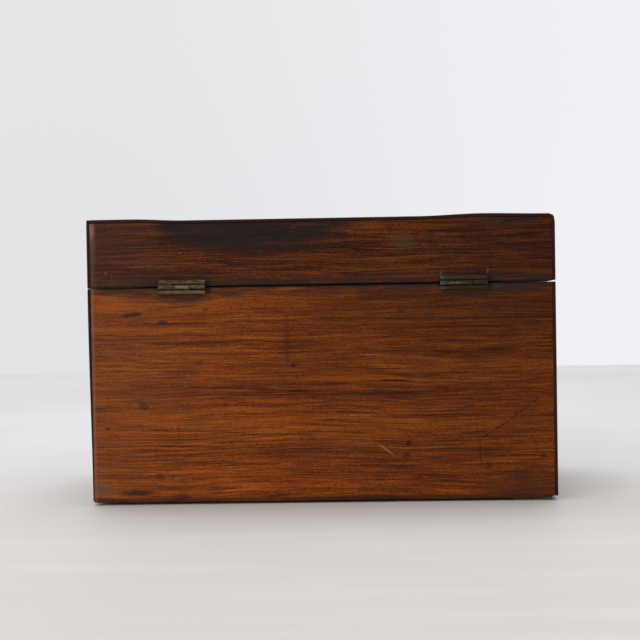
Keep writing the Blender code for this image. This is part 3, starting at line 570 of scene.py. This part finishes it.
def felt(name):
    graph = Finish(name)
    x, y, z = (part * 3.0 for part in graph.millimetres())
    fibre = graph.noise(x, y, z, detail=5.0, roughness=0.75, distortion=2.0)
    greens = (0.32, (5, 46, 14)), (0.5, (16, 84, 32)), (0.72, (72, 142, 78))
    graph.colour = graph.ramp(fibre, *greens)
    patch = graph.noise(x * 0.08, y * 0.08, detail=3.0)
    # Painted shadow of the box on the inner part of the pads at -X, together with dust in patches.
    shaded = graph.span(x, -312.0, -298.0, 0.0, 0.9)  # the inner part of the pads at -X
    dust_and_shadow = graph.most(graph.span(patch, 0.5, 0.65, 0.0, 0.6), shaded)
    graph.lay(dust_and_shadow, (28, 34, 24))
    return graph.finish(0.95, fibre, bump=0.8, Sheen_Weight=0.5, Sheen_Roughness=0.5)


def velvet(name):
    graph = Finish(name)
    x, y, z = graph.millimetres()
    pile = graph.noise(x * 6.0, y * 6.0, z * 6.0, detail=3.0)
    worn = graph.noise(x * 0.03, y * 0.05, detail=4.0)
    worn = graph.span(worn, 0.35, 0.75, 0.0, 0.7)
    graph.colour = graph.mix(worn, srgb(84, 14, 24), srgb(112, 32, 38))
    graph.lay(graph.span(pile, 0.4, 0.75, 0.0, 0.5), (48, 6, 14))
    return graph.finish(0.9, pile, bump=0.5, Sheen_Weight=0.9, Sheen_Roughness=0.35)


def foil(name):
    graph = Finish(name)
    x, y, z = graph.millimetres()
    cloud = graph.noise(x * 0.05, y * 0.05, z * 0.05, detail=5.0)
    crease = graph.noise(x * 0.4, y * 0.4, z * 0.4, detail=4.0, distortion=1.0)
    graph.colour = graph.mix(graph.span(cloud, 0.4, 0.65), srgb(150, 150, 148), srgb(104, 102, 96))
    rough = graph.span(cloud, 0.35, 0.65, 0.38, 0.62)
    return graph.finish(rough, crease, bump=0.35, metallic=0.85)


def steel(name):
    graph = Finish(name)
    x, y, z = graph.millimetres()
    rust = graph.noise(x * 0.6, y * 0.6, z * 0.6, detail=5.0)
    brushed = graph.noise(x * 6.0, y * 0.5, z * 6.0)
    graph.colour = graph.mix(graph.span(rust, 0.5, 0.68), srgb(142, 138, 132), srgb(92, 66, 50))
    rough = graph.span(rust, 0.42, 0.68, 0.32, 0.72)
    return graph.finish(rough, brushed + rust, bump=0.2, metallic=0.9)


def pearl(name):
    graph = Finish(name)
    x, y, z = graph.millimetres()
    layer = graph.noise(x * 0.25, y * 0.25, z * 0.6, detail=3.0, distortion=2.0)
    graph.colour = graph.ramp(
        layer,
        (0.3, (206, 214, 204)),
        (0.45, (228, 214, 206)),
        (0.6, (204, 216, 222)),
        (0.75, (234, 228, 214)),
    )
    return graph.finish(0.22, layer, bump=0.08, Coat_Weight=0.6, Coat_Roughness=0.1)


# Meshes


def add_object(name, data):
    """A new object in the scene."""
    added = bpy.data.objects.new(name, data)
    bpy.context.scene.collection.objects.link(added)
    return added


def mesh_object(name, points, faces, material, body):
    """A mesh in the row frame that rides on a body."""
    mesh = bpy.data.meshes.new(name)
    mesh.from_pydata([tuple(map(float, point)) for point in points], [], faces)
    mesh.validate()
    mesh.update()
    piece = add_object(name, mesh)
    mesh.materials.append(material)
    mesh.shade_smooth()
    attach(piece, body)
    return piece


def close(build, mesh):
    """Turns the faces outward and writes the finished build to the mesh."""
    bmesh.ops.recalc_face_normals(build, faces=build.faces)
    build.to_mesh(mesh)
    build.free()


def stations(low, high, step, radius):
    """Places from low to high, close together where an edge is rounded."""
    edge = [0.0, 0.12, 0.3, 0.55, 1.0]
    radius = min(radius, (high - low) * 0.48)
    first = [low + radius * part for part in edge]
    last = [high - radius * part for part in reversed(edge)]
    count = max(1, round((last[0] - first[-1]) / step))
    inner = [first[-1] + (last[0] - first[-1]) * i / count for i in range(1, count)]
    return first + inner + last


def board_grid(low, high, step, radius):
    """The surface of a box as a grid of points and quads."""
    places = [stations(low[i], high[i], step, radius) for i in range(3)]
    counts = [len(p) for p in places]
    index, points, faces = {}, [], []

    def point(key):
        if key not in index:
            index[key] = len(points)
            points.append([places[i][key[i]] for i in range(3)])
        return index[key]

    for axis in range(3):
        one, two = (axis + 1) % 3, (axis + 2) % 3
        for end in (0, counts[axis] - 1):
            for a in range(counts[one] - 1):
                for b in range(counts[two] - 1):
                    corners = []
                    for da, db in ((0, 0), (1, 0), (1, 1), (0, 1)):
                        key = [0, 0, 0]
                        key[axis], key[one], key[two] = end, a + da, b + db
                        corners.append(point(tuple(key)))
                    faces.append(corners if end else corners[::-1])
    return np.array(points), faces


def round_points(points, low, high, radius):
    """Rounds the edges of a box's surface."""
    low, high = np.array(low), np.array(high)
    radius = min(radius, (high - low).min() * 0.48)
    inner = np.clip(points, low + radius, high - radius)
    away = points - inner
    length = np.linalg.norm(away, axis=1)[:, None]
    return inner + away / np.maximum(length, 1e-9) * np.where(length > 0, radius, 0)


def smooth_step(value, low, high):
    part = np.clip((value - low) / (high - low), 0, 1)
    return part * part * (3 - 2 * part)


def board(name, low, high, material, body, radius, step=2.5 * MM, shape=None):
    """A veneer or pad with rounded edges. shape(points) may move its points after that."""
    low, high = Vector(low), Vector(high)
    points, faces = board_grid(low, high, step, radius)
    points = round_points(points, low, high, radius)
    if shape:
        points = shape(points)
    piece = mesh_object(name, points, faces, material, body)
    piece.modifiers.new("Even normals", "WEIGHTED_NORMAL").keep_sharp = True
    return piece


def carve(piece, cutters):
    """Cuts the pieces of a list out of a piece, and removes them."""
    for cutter in cutters:
        modifier = piece.modifiers.new("Cut", "BOOLEAN")
        modifier.operation = "DIFFERENCE"
        modifier.object = cutter
        modifier.solver = "EXACT"
    graph = bpy.context.evaluated_depsgraph_get()
    carved = bpy.data.meshes.new_from_object(piece.evaluated_get(graph), depsgraph=graph)
    for modifier in list(piece.modifiers):
        piece.modifiers.remove(modifier)
    carved.name = piece.data.name
    piece.data = carved
    for cutter in cutters:
        bpy.data.objects.remove(cutter)


def cutter_block(low, high):
    bpy.ops.mesh.primitive_cube_add(size=1)
    cutter = bpy.context.object
    cutter.scale = [h - l for l, h in zip(low, high)]
    cutter.location = [(l + h) / 2 for l, h in zip(low, high)]
    bpy.context.view_layer.update()
    return cutter


def turned(name, profile, centre, material, body):
    """An upright turned body from (radius, height) points that start and end on its axis."""
    segments = 64
    points, faces, rings = [], [], []
    for radius, height in profile:
        if radius < 1e-7:
            rings.append([len(points)])
            points.append(centre + Vector((0, 0, height)))
            continue
        rings.append(list(range(len(points), len(points) + segments)))
        for i in range(segments):
            angle = 2 * math.pi * i / segments
            place = (radius * math.cos(angle), radius * math.sin(angle), height)
            points.append(centre + Vector(place))
    for upper, lower in zip(rings, rings[1:]):
        for i in range(segments):
            j = (i + 1) % segments
            ring = [upper[i % len(upper)], lower[i % len(lower)]]
            ring += [lower[j % len(lower)], upper[j % len(upper)]]
            face = list(dict.fromkeys(ring))
            if len(face) > 2:
                faces.append(face)
    return mesh_object(name, points, faces, material, body)


# Camera, stage and light


def make_camera():
    """The photograph's viewpoint: behind the box, at its seam's height, rolled by a degree."""
    data = bpy.data.cameras.new("camera")
    data.sensor_width = 36
    data.lens = 78.75
    data.clip_start, data.clip_end = 0.01, 20
    camera = add_object("camera", data)
    place, target = Vector((-0.0185, 0.76, 0.105)), Vector((0.0025, 0, 0.0885))
    turn = (place - target).to_track_quat("Z", "Y").to_matrix().to_4x4()
    roll = Matrix.Rotation(math.radians(-0.95), 4, "Z")
    camera.matrix_world = Matrix.Translation(place) @ turn @ roll
    bpy.context.scene.camera = camera


def make_floor():
    """A pale painted floor that ends behind the box, where the photograph's horizon is."""
    graph = Finish("painted_floor")
    x, y, _ = graph.millimetres()
    streak = graph.noise((x + y * 0.3) * 0.008, y * 0.05, detail=4.0)
    cloud = graph.noise(x * 0.004, y * 0.004, detail=3.0)
    # Painted shade: the floor is darker towards the camera.
    far, near_shaded = srgb(229, 229, 229), srgb(220, 217, 211)
    graph.colour = graph.mix(graph.span(y, -300.0, 350.0), far, near_shaded)
    graph.lay(graph.span(streak, 0.42, 0.66, 0.0, 0.3), (233, 232, 230))
    graph.lay(graph.span(cloud, 0.4, 0.65, 0.0, 0.35), (214, 211, 206))
    material = graph.finish(0.55, streak, bump=0.05)
    mesh = bpy.data.meshes.new("floor")
    far_edge, near_edge, half = -1.08, 3.0, 3.0
    corners = [(-half, far_edge, 0), (half, far_edge, 0)]
    corners += [(half, near_edge, 0), (-half, near_edge, 0)]
    mesh.from_pydata(corners, [], [range(4)])
    mesh.materials.append(material)
    add_object("floor", mesh)


def make_world():
    """A pale studio: the camera sees its backdrop, and its room lights the box from all round."""
    world = bpy.data.worlds.new("studio")
    bpy.context.scene.world = world
    graph = Graph(world)
    direction = graph.out(graph.new("ShaderNodeTexCoord"), "Generated")
    parts = graph.new("ShaderNodeSeparateXYZ", direction)
    x, y, z = (graph.out(parts, i) for i in range(3))
    side = graph.span(x, -0.2, 0.2)
    backdrop = graph.mix(side, srgb(240, 240, 245), srgb(227, 227, 230))
    top = graph.mix(side, srgb(240, 240, 244), srgb(230, 230, 232))
    backdrop = graph.mix(graph.span(z, 0.0, 0.2), backdrop, top)
    room = graph.mix(graph.span(y, -0.3, 0.7), (0.95, 0.95, 1.0, 1), (0.22, 0.2, 0.17, 1))
    room = graph.mix(graph.span(z, 0.2, 0.9), room, (1.0, 1.0, 1.02, 1))
    shown = graph.out(graph.new("ShaderNodeBackground", backdrop))
    unseen = graph.out(graph.new("ShaderNodeBackground", room, 0.6))
    to_camera = graph.out(graph.new("ShaderNodeLightPath"), "Is Camera Ray")
    choose = graph.out(graph.new("ShaderNodeMixShader", to_camera, unseen, shown))
    graph.new("ShaderNodeOutputWorld", choose)
    bpy.context.scene.view_settings.view_transform = "Standard"


def make_light(name, place, size, power):
    """A square soft light that points at the middle of the box."""
    target = Vector((0, 0, 0.08))
    data = bpy.data.lights.new(name, "AREA")
    data.shape = "SQUARE"
    data.size = size
    data.energy = power
    light = add_object(name, data)
    light.location = place
    light.rotation_euler = (target - Vector(place)).to_track_quat("-Z", "Y").to_euler()


def make_studio():
    make_camera()
    make_floor()
    make_world()
    make_light("ceiling", (0.1, -0.5, 2.3), size=1.8, power=28)
    make_light("window", (1.2, 1.9, 1.1), size=2.2, power=19)


# Pieces of the outside


def hinge_notches():
    """Cutters for the two notches that the hinge leaves lie in."""
    play, past, half_height = 0.5 * MM, 2 * MM, 1.7 * MM
    cutters = []
    for hand in ("left", "right"):
        low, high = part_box(f"{hand}_hinge_pin")
        notch_low = (low.x - play, BACK_LOW.y - past, HINGE_AXIS.z - half_height)
        notch_high = (high.x + play, BACK_HIGH.y + past, HINGE_AXIS.z + half_height)
        cutters.append(cutter_block(notch_low, notch_high))
    return cutters


def sag(points, top, reach):
    """The hollow worn along the lid's upper back edge, deepest at the very edge."""
    depth = 0.93 * MM
    x, y, z = points.T
    along = smooth_step(x, -80 * MM, -48 * MM) * (1 - smooth_step(x, 67 * MM, 93 * MM))
    droop = 0.6 * MM * (1 - smooth_step(x, -112 * MM, -78 * MM))
    fade = smooth_step(z, top - reach, top) * smooth_step(y, BACK_HIGH.y - 30 * MM, BACK_HIGH.y)
    points[:, 2] -= (depth * along + droop) * fade
    return points


def round_corner(points, x_edge, z_edge, radius):
    """Rounds one long corner that runs along Y: points outside its arc move in to it."""
    sign = 1 if x_edge > 0 else -1
    centre_x = x_edge - sign * radius
    centre_z = z_edge - radius
    dx, dz = (points[:, 0] - centre_x) * sign, points[:, 2] - centre_z
    length = np.hypot(dx, dz)
    outside = (dx > 0) & (dz > 0) & (length > radius)
    scale = np.where(outside, radius / np.maximum(length, 1e-9), 1)
    points[:, 0] = np.where(outside, centre_x + sign * dx * scale, points[:, 0])
    points[:, 2] = np.where(outside, centre_z + dz * scale, points[:, 2])
    return points


def worn_corners(points):
    """The lid's two upper corners, of which the one at -X is worn much rounder."""
    points = round_corner(points, TOP_LOW.x, TOP_HIGH.z, 4.2 * MM)
    return round_corner(points, TOP_HIGH.x, TOP_HIGH.z, 1.0 * MM)


def top_shape(points):
    return worn_corners(sag(points, TOP_HIGH.z, 6 * MM))


def warp(points):
    """The lid's lower edge has warped: the seam closes near both ends and gapes at -X's corner."""
    x, _, z = points.T
    low = 1 - smooth_step(z, LID_LOW.z, LID_LOW.z + 4 * MM)
    shut = LID_LOW.z - BACK_HIGH.z - 0.01 * MM
    gape = 0.25 * MM * (1 - smooth_step(x, -115 * MM, -112 * MM))
    close = smooth_step(x, 80 * MM, 98 * MM) * (1 - 0.35 * smooth_step(x, 113 * MM, 115 * MM))
    close += (1 - smooth_step(x, -96 * MM, -84 * MM)) * smooth_step(x, -114 * MM, -110 * MM)
    points[:, 2] += low * (gape - close * shut)
    return points


def lid_back_shape(points):
    return lid_side_shape(sag(points, TOP_HIGH.z, 8 * MM))


def lid_side_shape(points):
    return warp(worn_corners(points))


def foot_shape(points):
    """The back's lower edge hangs a little over the bottom board, but is worn away at -X."""
    x, _, z = points.T
    low = 1 - smooth_step(z, BACK_LOW.z, BACK_LOW.z + 6 * MM)
    points[:, 2] -= 0.8 * MM * low * smooth_step(x, -114 * MM, -104 * MM)
    return points


def lean_right(points):
    """The end veneer at +X leans in towards the foot."""
    x, _, z = points.T
    lean = 0.9 * MM * (1 - smooth_step(z, 0, 100 * MM))
    points[:, 0] -= lean * smooth_step(x, BODY_RIGHT - 2 * MM, BODY_RIGHT)
    return points


def make_veneers(materials):
    """The sawn veneers of the body and the lid, a little thicker than their solids."""
    inward = Vector((0, VENEER_EXTRA, 0))
    sideways = Vector((VENEER_EXTRA, 0, 0))
    none = Vector((0, 0, 0))
    plans = [
        ("back_veneer", "box", "body_back", -inward, None, foot_shape),
        ("front_veneer", "box", "body_front", None, inward, None),
        ("left_veneer", "box", "side_left", None, sideways, None),
        ("right_veneer", "box", "side_right", -sideways, None, lean_right),
        ("lid_back_veneer", "lid", "lid_back", -inward, None, lid_back_shape),
        ("lid_front_veneer", "lid", "lid_front", None, inward, lid_side_shape),
        ("lid_left_veneer", "lid", "side_left", None, sideways, lid_side_shape),
        ("lid_right_veneer", "lid", "side_right", -sideways, None, lid_side_shape),
        ("lid_top_veneer", "lid", "lid_top", Vector((0, 0, -VENEER_EXTRA)), None, top_shape),
    ]
    made = {}
    for node, body, look, lower, higher, shape in plans:
        low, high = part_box(node)
        low, high = low + (lower or none), high + (higher or none)
        name, material = f"{node}_sawn", materials[look]
        made[node] = board(name, low, high, material, body, 0.45 * MM, shape=shape)
        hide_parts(node)
    for node in ("back_veneer", "lid_back_veneer"):
        carve(made[node], hinge_notches())
    low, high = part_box("escutcheon")
    recess = lozenge("lozenge_cutter", low, high, spread=0.25 * MM, past=1 * MM)
    carve(made["front_veneer"], [recess])


def lozenge(name, low, high, spread, past):
    """A plain lozenge plate, larger than the box by spread at its corners and by past in depth."""
    centre = (low + high) / 2
    half_x, half_z = (high.x - low.x) / 2 + spread, (high.z - low.z) / 2 + spread * 1.6
    ring = [(half_x, 0), (0, half_z), (-half_x, 0), (0, -half_z)]
    points = [(centre.x + x, low.y - past, centre.z + z) for x, z in ring]
    points += [(centre.x + x, high.y + past, centre.z + z) for x, z in ring]
    faces = [(0, 1, 2, 3), (7, 6, 5, 4)]
    faces += [(i, i + 4, (i + 1) % 4 + 4, (i + 1) % 4) for i in range(4)]
    mesh = bpy.data.meshes.new(name)
    mesh.from_pydata(points, [], faces)
    plate = add_object(name, mesh)
    build = bmesh.new()
    build.from_mesh(mesh)
    close(build, mesh)
    bpy.context.view_layer.update()
    return plate


def make_felt(material):
    """Felt pads with ragged edges and a fringe of loose fibres."""
    for name in ("back_left", "back_right", "front_left", "front_right"):
        node = f"felt_pad_{name}"
        low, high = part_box(node)
        draw = random.Random(node)
        seed = Vector((draw.uniform(0, 50), draw.uniform(0, 50), 0))

        def ragged(points):
            centre = np.array((low + high) / 2)
            fine, coarse = 900, 260  # of the noise, per metre
            for point in points:
                push = noise.noise(Vector(point) * fine + seed) * 0.35 * MM
                away = point[:2] - centre[:2]
                rim = smooth_step(np.abs(away).max(), 7.5 * MM, 9.2 * MM)
                under = 1 - smooth_step(point[2], low.z, low.z + 1 * MM)
                lift = abs(noise.noise(Vector((point[0], point[1], 0)) * coarse + seed))
                point[2] += lift * rim * under * 1.1 * MM
                distance = max(float(np.linalg.norm(away)), 0.01 * MM)
                point[:2] -= away / distance * (0.4 * MM + push)
            return points

        name, radius, step = f"{node}_cut", 0.5 * MM, 1 * MM
        pad = board(name, low, high, material, "box", radius, step, ragged)
        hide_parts(node)
        add_fibres(pad, low, high, draw)


def add_fibres(pad, low, high, draw):
    """Fine tapered fibres that stand out of a pad's four edges."""
    count, inset, half_width = 260, 0.55 * MM, 0.06 * MM
    build = bmesh.new()
    build.from_mesh(pad.data)
    for _ in range(count):
        side = draw.randrange(4)
        along = draw.uniform(0.06, 0.94)
        height = draw.uniform(low.z + 0.2 * MM, high.z - 0.2 * MM)
        x = low.x + (high.x - low.x) * along
        y = low.y + (high.y - low.y) * along
        starts = [
            ((x, high.y - inset), (0, 1)),
            ((x, low.y + inset), (0, -1)),
            ((high.x - inset, y), (1, 0)),
            ((low.x + inset, y), (-1, 0)),
        ]
        (px, py), (dx, dy) = starts[side]
        start = Vector((px, py, height))
        reach = draw.uniform(0.3, 0.5) * MM
        tip = start + Vector((dx, dy, 0)) * reach
        tip += Vector((dy, dx, 0)) * draw.uniform(-0.3, 0.3) * MM
        tip.z = min(max(tip.z + draw.uniform(-0.3, 0.2) * MM, low.z), high.z)
        across = Vector((dy, dx, 0)) * half_width
        ring = [start + across, start - across, start + Vector((0, 0, 0.1 * MM)), tip]
        corners = [build.verts.new(point) for point in ring]
        for face in ((0, 1, 2), (0, 3, 1), (1, 3, 2), (2, 3, 0)):
            build.faces.new([corners[i] for i in face])
    close(build, pad.data)


# Pieces of the inside and the fittings


def make_inside(materials):
    """Foil trays, the lid's pad, knobs and the pearl escutcheon."""
    for hand in ("left", "right"):
        make_foil(hand, materials["foil"])
        make_knob(hand, materials["ebony"])
    make_lid_pad(materials["velvet"])
    make_escutcheon(materials["pearl"])


def make_foil(hand, material):
    """A thin tray pressed into the compartment, with the soft creases of lead foil."""
    node = f"{hand}_foil"
    low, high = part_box(node)
    sheet, step = 0.35 * MM, 4 * MM
    build = bmesh.new()
    counts = [max(2, round((high[i] - low[i]) / step)) for i in range(3)]
    grid = [np.linspace(low[i], high[i], counts[i] + 1) for i in range(3)]
    cache = {}

    def vertex(i, j, k):
        key = (i, j, k)
        if key not in cache:
            cache[key] = build.verts.new((grid[0][i], grid[1][j], grid[2][k]))
        return cache[key]

    def quad(*corners):
        build.faces.new([vertex(*corner) for corner in corners])

    nx, ny, nz = counts
    for i in range(nx):
        for j in range(ny):
            quad((i, j, 0), (i + 1, j, 0), (i + 1, j + 1, 0), (i, j + 1, 0))
    for k in range(nz):
        for i in range(nx):
            for j in (0, ny):
                quad((i, j, k), (i + 1, j, k), (i + 1, j, k + 1), (i, j, k + 1))
        for j in range(ny):
            for i in (0, nx):
                quad((i, j, k), (i, j + 1, k), (i, j + 1, k + 1), (i, j, k + 1))
    middle = (low + high) / 2
    for point in build.verts:
        crumple = abs(noise.noise(point.co * 130)) + 0.5 * abs(noise.noise(point.co * 300))
        for axis in range(3):
            off = min(abs(point.co[axis] - low[axis]), abs(point.co[axis] - high[axis]))
            if off < 1e-6 and not (axis == 2 and point.co[2] > middle.z):
                sign = 1 if point.co[axis] < middle[axis] else -1
                point.co[axis] += sign * (sheet + crumple * 0.5 * MM)
    mesh = bpy.data.meshes.new(f"{node}_pressed")
    close(build, mesh)
    piece = add_object(f"{node}_pressed", mesh)
    mesh.materials.append(material)
    mesh.shade_smooth()
    solid = piece.modifiers.new("Thickness", "SOLIDIFY")
    solid.thickness = sheet * 0.8
    solid.offset = 0
    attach(piece, "box")
    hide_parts(node)


def make_knob(hand, material):
    """A turned knob with a fillet at its foot and a bead round its waist."""
    node = f"{hand}_knob"
    low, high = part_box(node)
    centre = Vector(((low.x + high.x) / 2, (low.y + high.y) / 2, high.z))
    radius = (high.x - low.x) / 2
    total = high.z - low.z
    lid_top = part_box(f"{hand}_inner_lid")[1].z - high.z
    profile = [(0, 0)]
    ball = 4 * MM
    steps, step = 14, 11  # round the ball, and degrees of each
    for i in range(1, steps + 1):
        angle = math.radians(90 - i * step)
        profile.append((radius - ball + ball * math.cos(angle), -ball + ball * math.sin(angle)))
    profile += [
        (2.5 * MM, lid_top + 2.6 * MM),
        (2.35 * MM, lid_top + 2.1 * MM),
        (3.0 * MM, lid_top + 1.8 * MM),
        (3.1 * MM, lid_top + 1.5 * MM),
        (3.9 * MM, lid_top + 1.2 * MM),
        (4.3 * MM, lid_top + 0.9 * MM),
        (4.3 * MM, lid_top + 0.3 * MM),
        (2 * MM, lid_top + 0.3 * MM),
        (2 * MM, -total),
        (0, -total),
    ]
    piece = turned(f"{node}_turned", profile, centre, material, f"{hand}_inner_lid")
    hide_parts(node)


def make_lid_pad(material):
    """A pad of velvet over wool, swollen by a cloth simulation and held round its edge."""
    low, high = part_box("lid_pad")
    thin = (high.z - low.z) * 0.45
    margin, step, radius = 0.4 * MM, 3.5 * MM, 0.6 * MM
    start_low = Vector((low.x + margin, low.y + margin, high.z - thin))
    points, faces = board_grid(start_low, high, step, radius)
    points = round_points(points, start_low, high, radius)
    piece = mesh_object("lid_pad_velvet", points, faces, material, "lid")
    held_depth = 0.9 * MM
    swell(piece, [i for i, point in enumerate(points) if point[2] > high.z - held_depth])
    gap = 0.1 * MM
    moved = np.array([vertex.co for vertex in piece.data.vertices])
    moved = np.maximum(moved, np.array(low) + gap)
    moved[:, :2] = np.minimum(moved[:, :2], np.array(high)[:2] - gap)
    moved[:, 2] = np.minimum(moved[:, 2], high.z)
    piece.data.vertices.foreach_set("co", moved.astype(np.float32).ravel())
    piece.data.update()
    smooth = piece.modifiers.new("Finer", "SUBSURF")
    smooth.levels = smooth.render_levels = 1
    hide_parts("lid_pad")


def swell(piece, held):
    """Blows a closed mesh up a little with cloth pressure. The held vertices stay in place."""
    frames = 14
    group = piece.vertex_groups.new(name="held")
    group.add(held, 1.0, "REPLACE")
    cloth = piece.modifiers.new("Cloth", "CLOTH")
    settings = cloth.settings
    settings.quality = 5
    settings.use_pressure = True
    settings.uniform_pressure_force = 3
    settings.vertex_group_mass = "held"
    settings.effector_weights.gravity = 0
    settings.tension_stiffness = settings.compression_stiffness = 20
    scene = bpy.context.scene
    cloth.point_cache.frame_start, cloth.point_cache.frame_end = 1, frames
    for step in range(1, frames + 1):
        scene.frame_set(step)
    graph = bpy.context.evaluated_depsgraph_get()
    mesh = bpy.data.meshes.new_from_object(piece.evaluated_get(graph), depsgraph=graph)
    piece.modifiers.remove(cloth)
    piece.data = mesh
    scene.frame_set(1)


def make_escutcheon(material):
    low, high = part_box("escutcheon")
    plate = lozenge("escutcheon_pearl", low, high, 0.0, 0.0)
    plate.data.materials.append(material)
    past = 1 * MM
    slot_low = (-1 * MM, low.y - past, KEY_AXIS.z - 5.5 * MM)
    slot = cutter_block(slot_low, (1 * MM, high.y + past, KEY_AXIS.z))
    bpy.ops.mesh.primitive_cylinder_add(
        radius=1.9 * MM,
        depth=6 * MM,
        vertices=48,
        location=(0, low.y, KEY_AXIS.z),
        rotation=(math.pi / 2, 0, 0),
    )
    bpy.context.view_layer.update()
    carve(plate, [slot, bpy.context.object])
    soften(plate, 0.15 * MM, 30)
    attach(plate, "box")
    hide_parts("escutcheon")


def soften(piece, width, degrees):
    """Rounds a piece's edges where its faces meet at more than the angle."""
    edges = piece.modifiers.new("Soft edges", "BEVEL")
    edges.width = width
    edges.segments = 2
    edges.limit_method = "ANGLE"
    edges.angle_limit = math.radians(degrees)


def dress(node, material, width):
    """Gives a CAD node a material and softened edges."""
    piece = NODES[node]
    piece.data.materials.clear()
    piece.data.materials.append(material)
    piece.modifiers.new("Weld", "WELD").merge_threshold = 0.01 * MM
    if width:
        soften(piece, width, 32)


def make_materials():
    bare = ((112, 72, 42), (168, 120, 76), 0.7)
    stained = ((56, 26, 16), (104, 54, 30), 0.45)
    return {
        "body_back": rosewood("rosewood_body_back", GRAIN_X, 2.0, 0.97, body_back_detail, 1.2),
        "body_front": rosewood("rosewood_body_front", GRAIN_X, 31.0),
        "lid_back": rosewood("rosewood_lid_back", GRAIN_X, 57.0, 0.87, lid_back_detail, 2.2),
        "lid_front": rosewood("rosewood_lid_front", GRAIN_X, 71.0, 0.9),
        "lid_top": rosewood("rosewood_lid_top", GRAIN_X_FLAT, 83.0, 0.8, edge_detail),
        "side_left": rosewood("rosewood_left", GRAIN_Y, 97.0, 0.8, edge_detail),
        "side_right": rosewood("rosewood_right", GRAIN_Y, 113.0, 0.8, edge_detail),
        "felt": felt("green_felt"),
        "velvet": velvet("red_velvet"),
        "foil": foil("lead_foil"),
        "steel": steel("worn_steel"),
        "pearl": pearl("pearl"),
        "ebony": plain_wood("ebony", GRAIN_Z, 5.0, (14, 11, 10), (40, 30, 25), 0.35, 0.08),
        "pine_x": plain_wood("carcass_long", GRAIN_X, 12.0, *bare),
        "pine_y": plain_wood("carcass_short", GRAIN_Y, 14.0, *bare),
        "lining_x": plain_wood("lining_long", GRAIN_X, 17.0, *stained),
        "lining_y": plain_wood("lining_short", GRAIN_Y, 19.0, *stained),
        "hinge": brass("hinge_brass", 3.0, (108, 90, 62), (68, 58, 40), hinge=True),
        "fittings": brass("lock_brass", 9.0, (176, 148, 92), (124, 102, 62)),
    }


def dress_frame(materials):
    """Materials and soft edges for the CAD pieces that stay."""
    looks = {
        "pine_x": "front_board back_board bottom_board lid_front_board lid_back_board lid_panel",
        "pine_y": "left_board right_board lid_left_board lid_right_board",
        "lining_x": "front_lining back_lining left_inner_lid right_inner_lid",
        "lining_y": "left_lining right_lining partition",
    }
    for look, nodes in looks.items():
        for node in nodes.split():
            dress(node, materials[look], 0.25 * MM)
    for node in NODES:
        if "_hinge_" in node:
            dress(node, materials["hinge"], 0.12 * MM if "leaf" in node else 0)
        elif node.startswith(("lock_", "link_")):
            dress(node, materials["fittings"], 0.12 * MM)
    dress("key", materials["steel"], 0.1 * MM)


materials = make_materials()
make_studio()
make_veneers(materials)
make_felt(materials["felt"])
make_inside(materials)
dress_frame(materials)
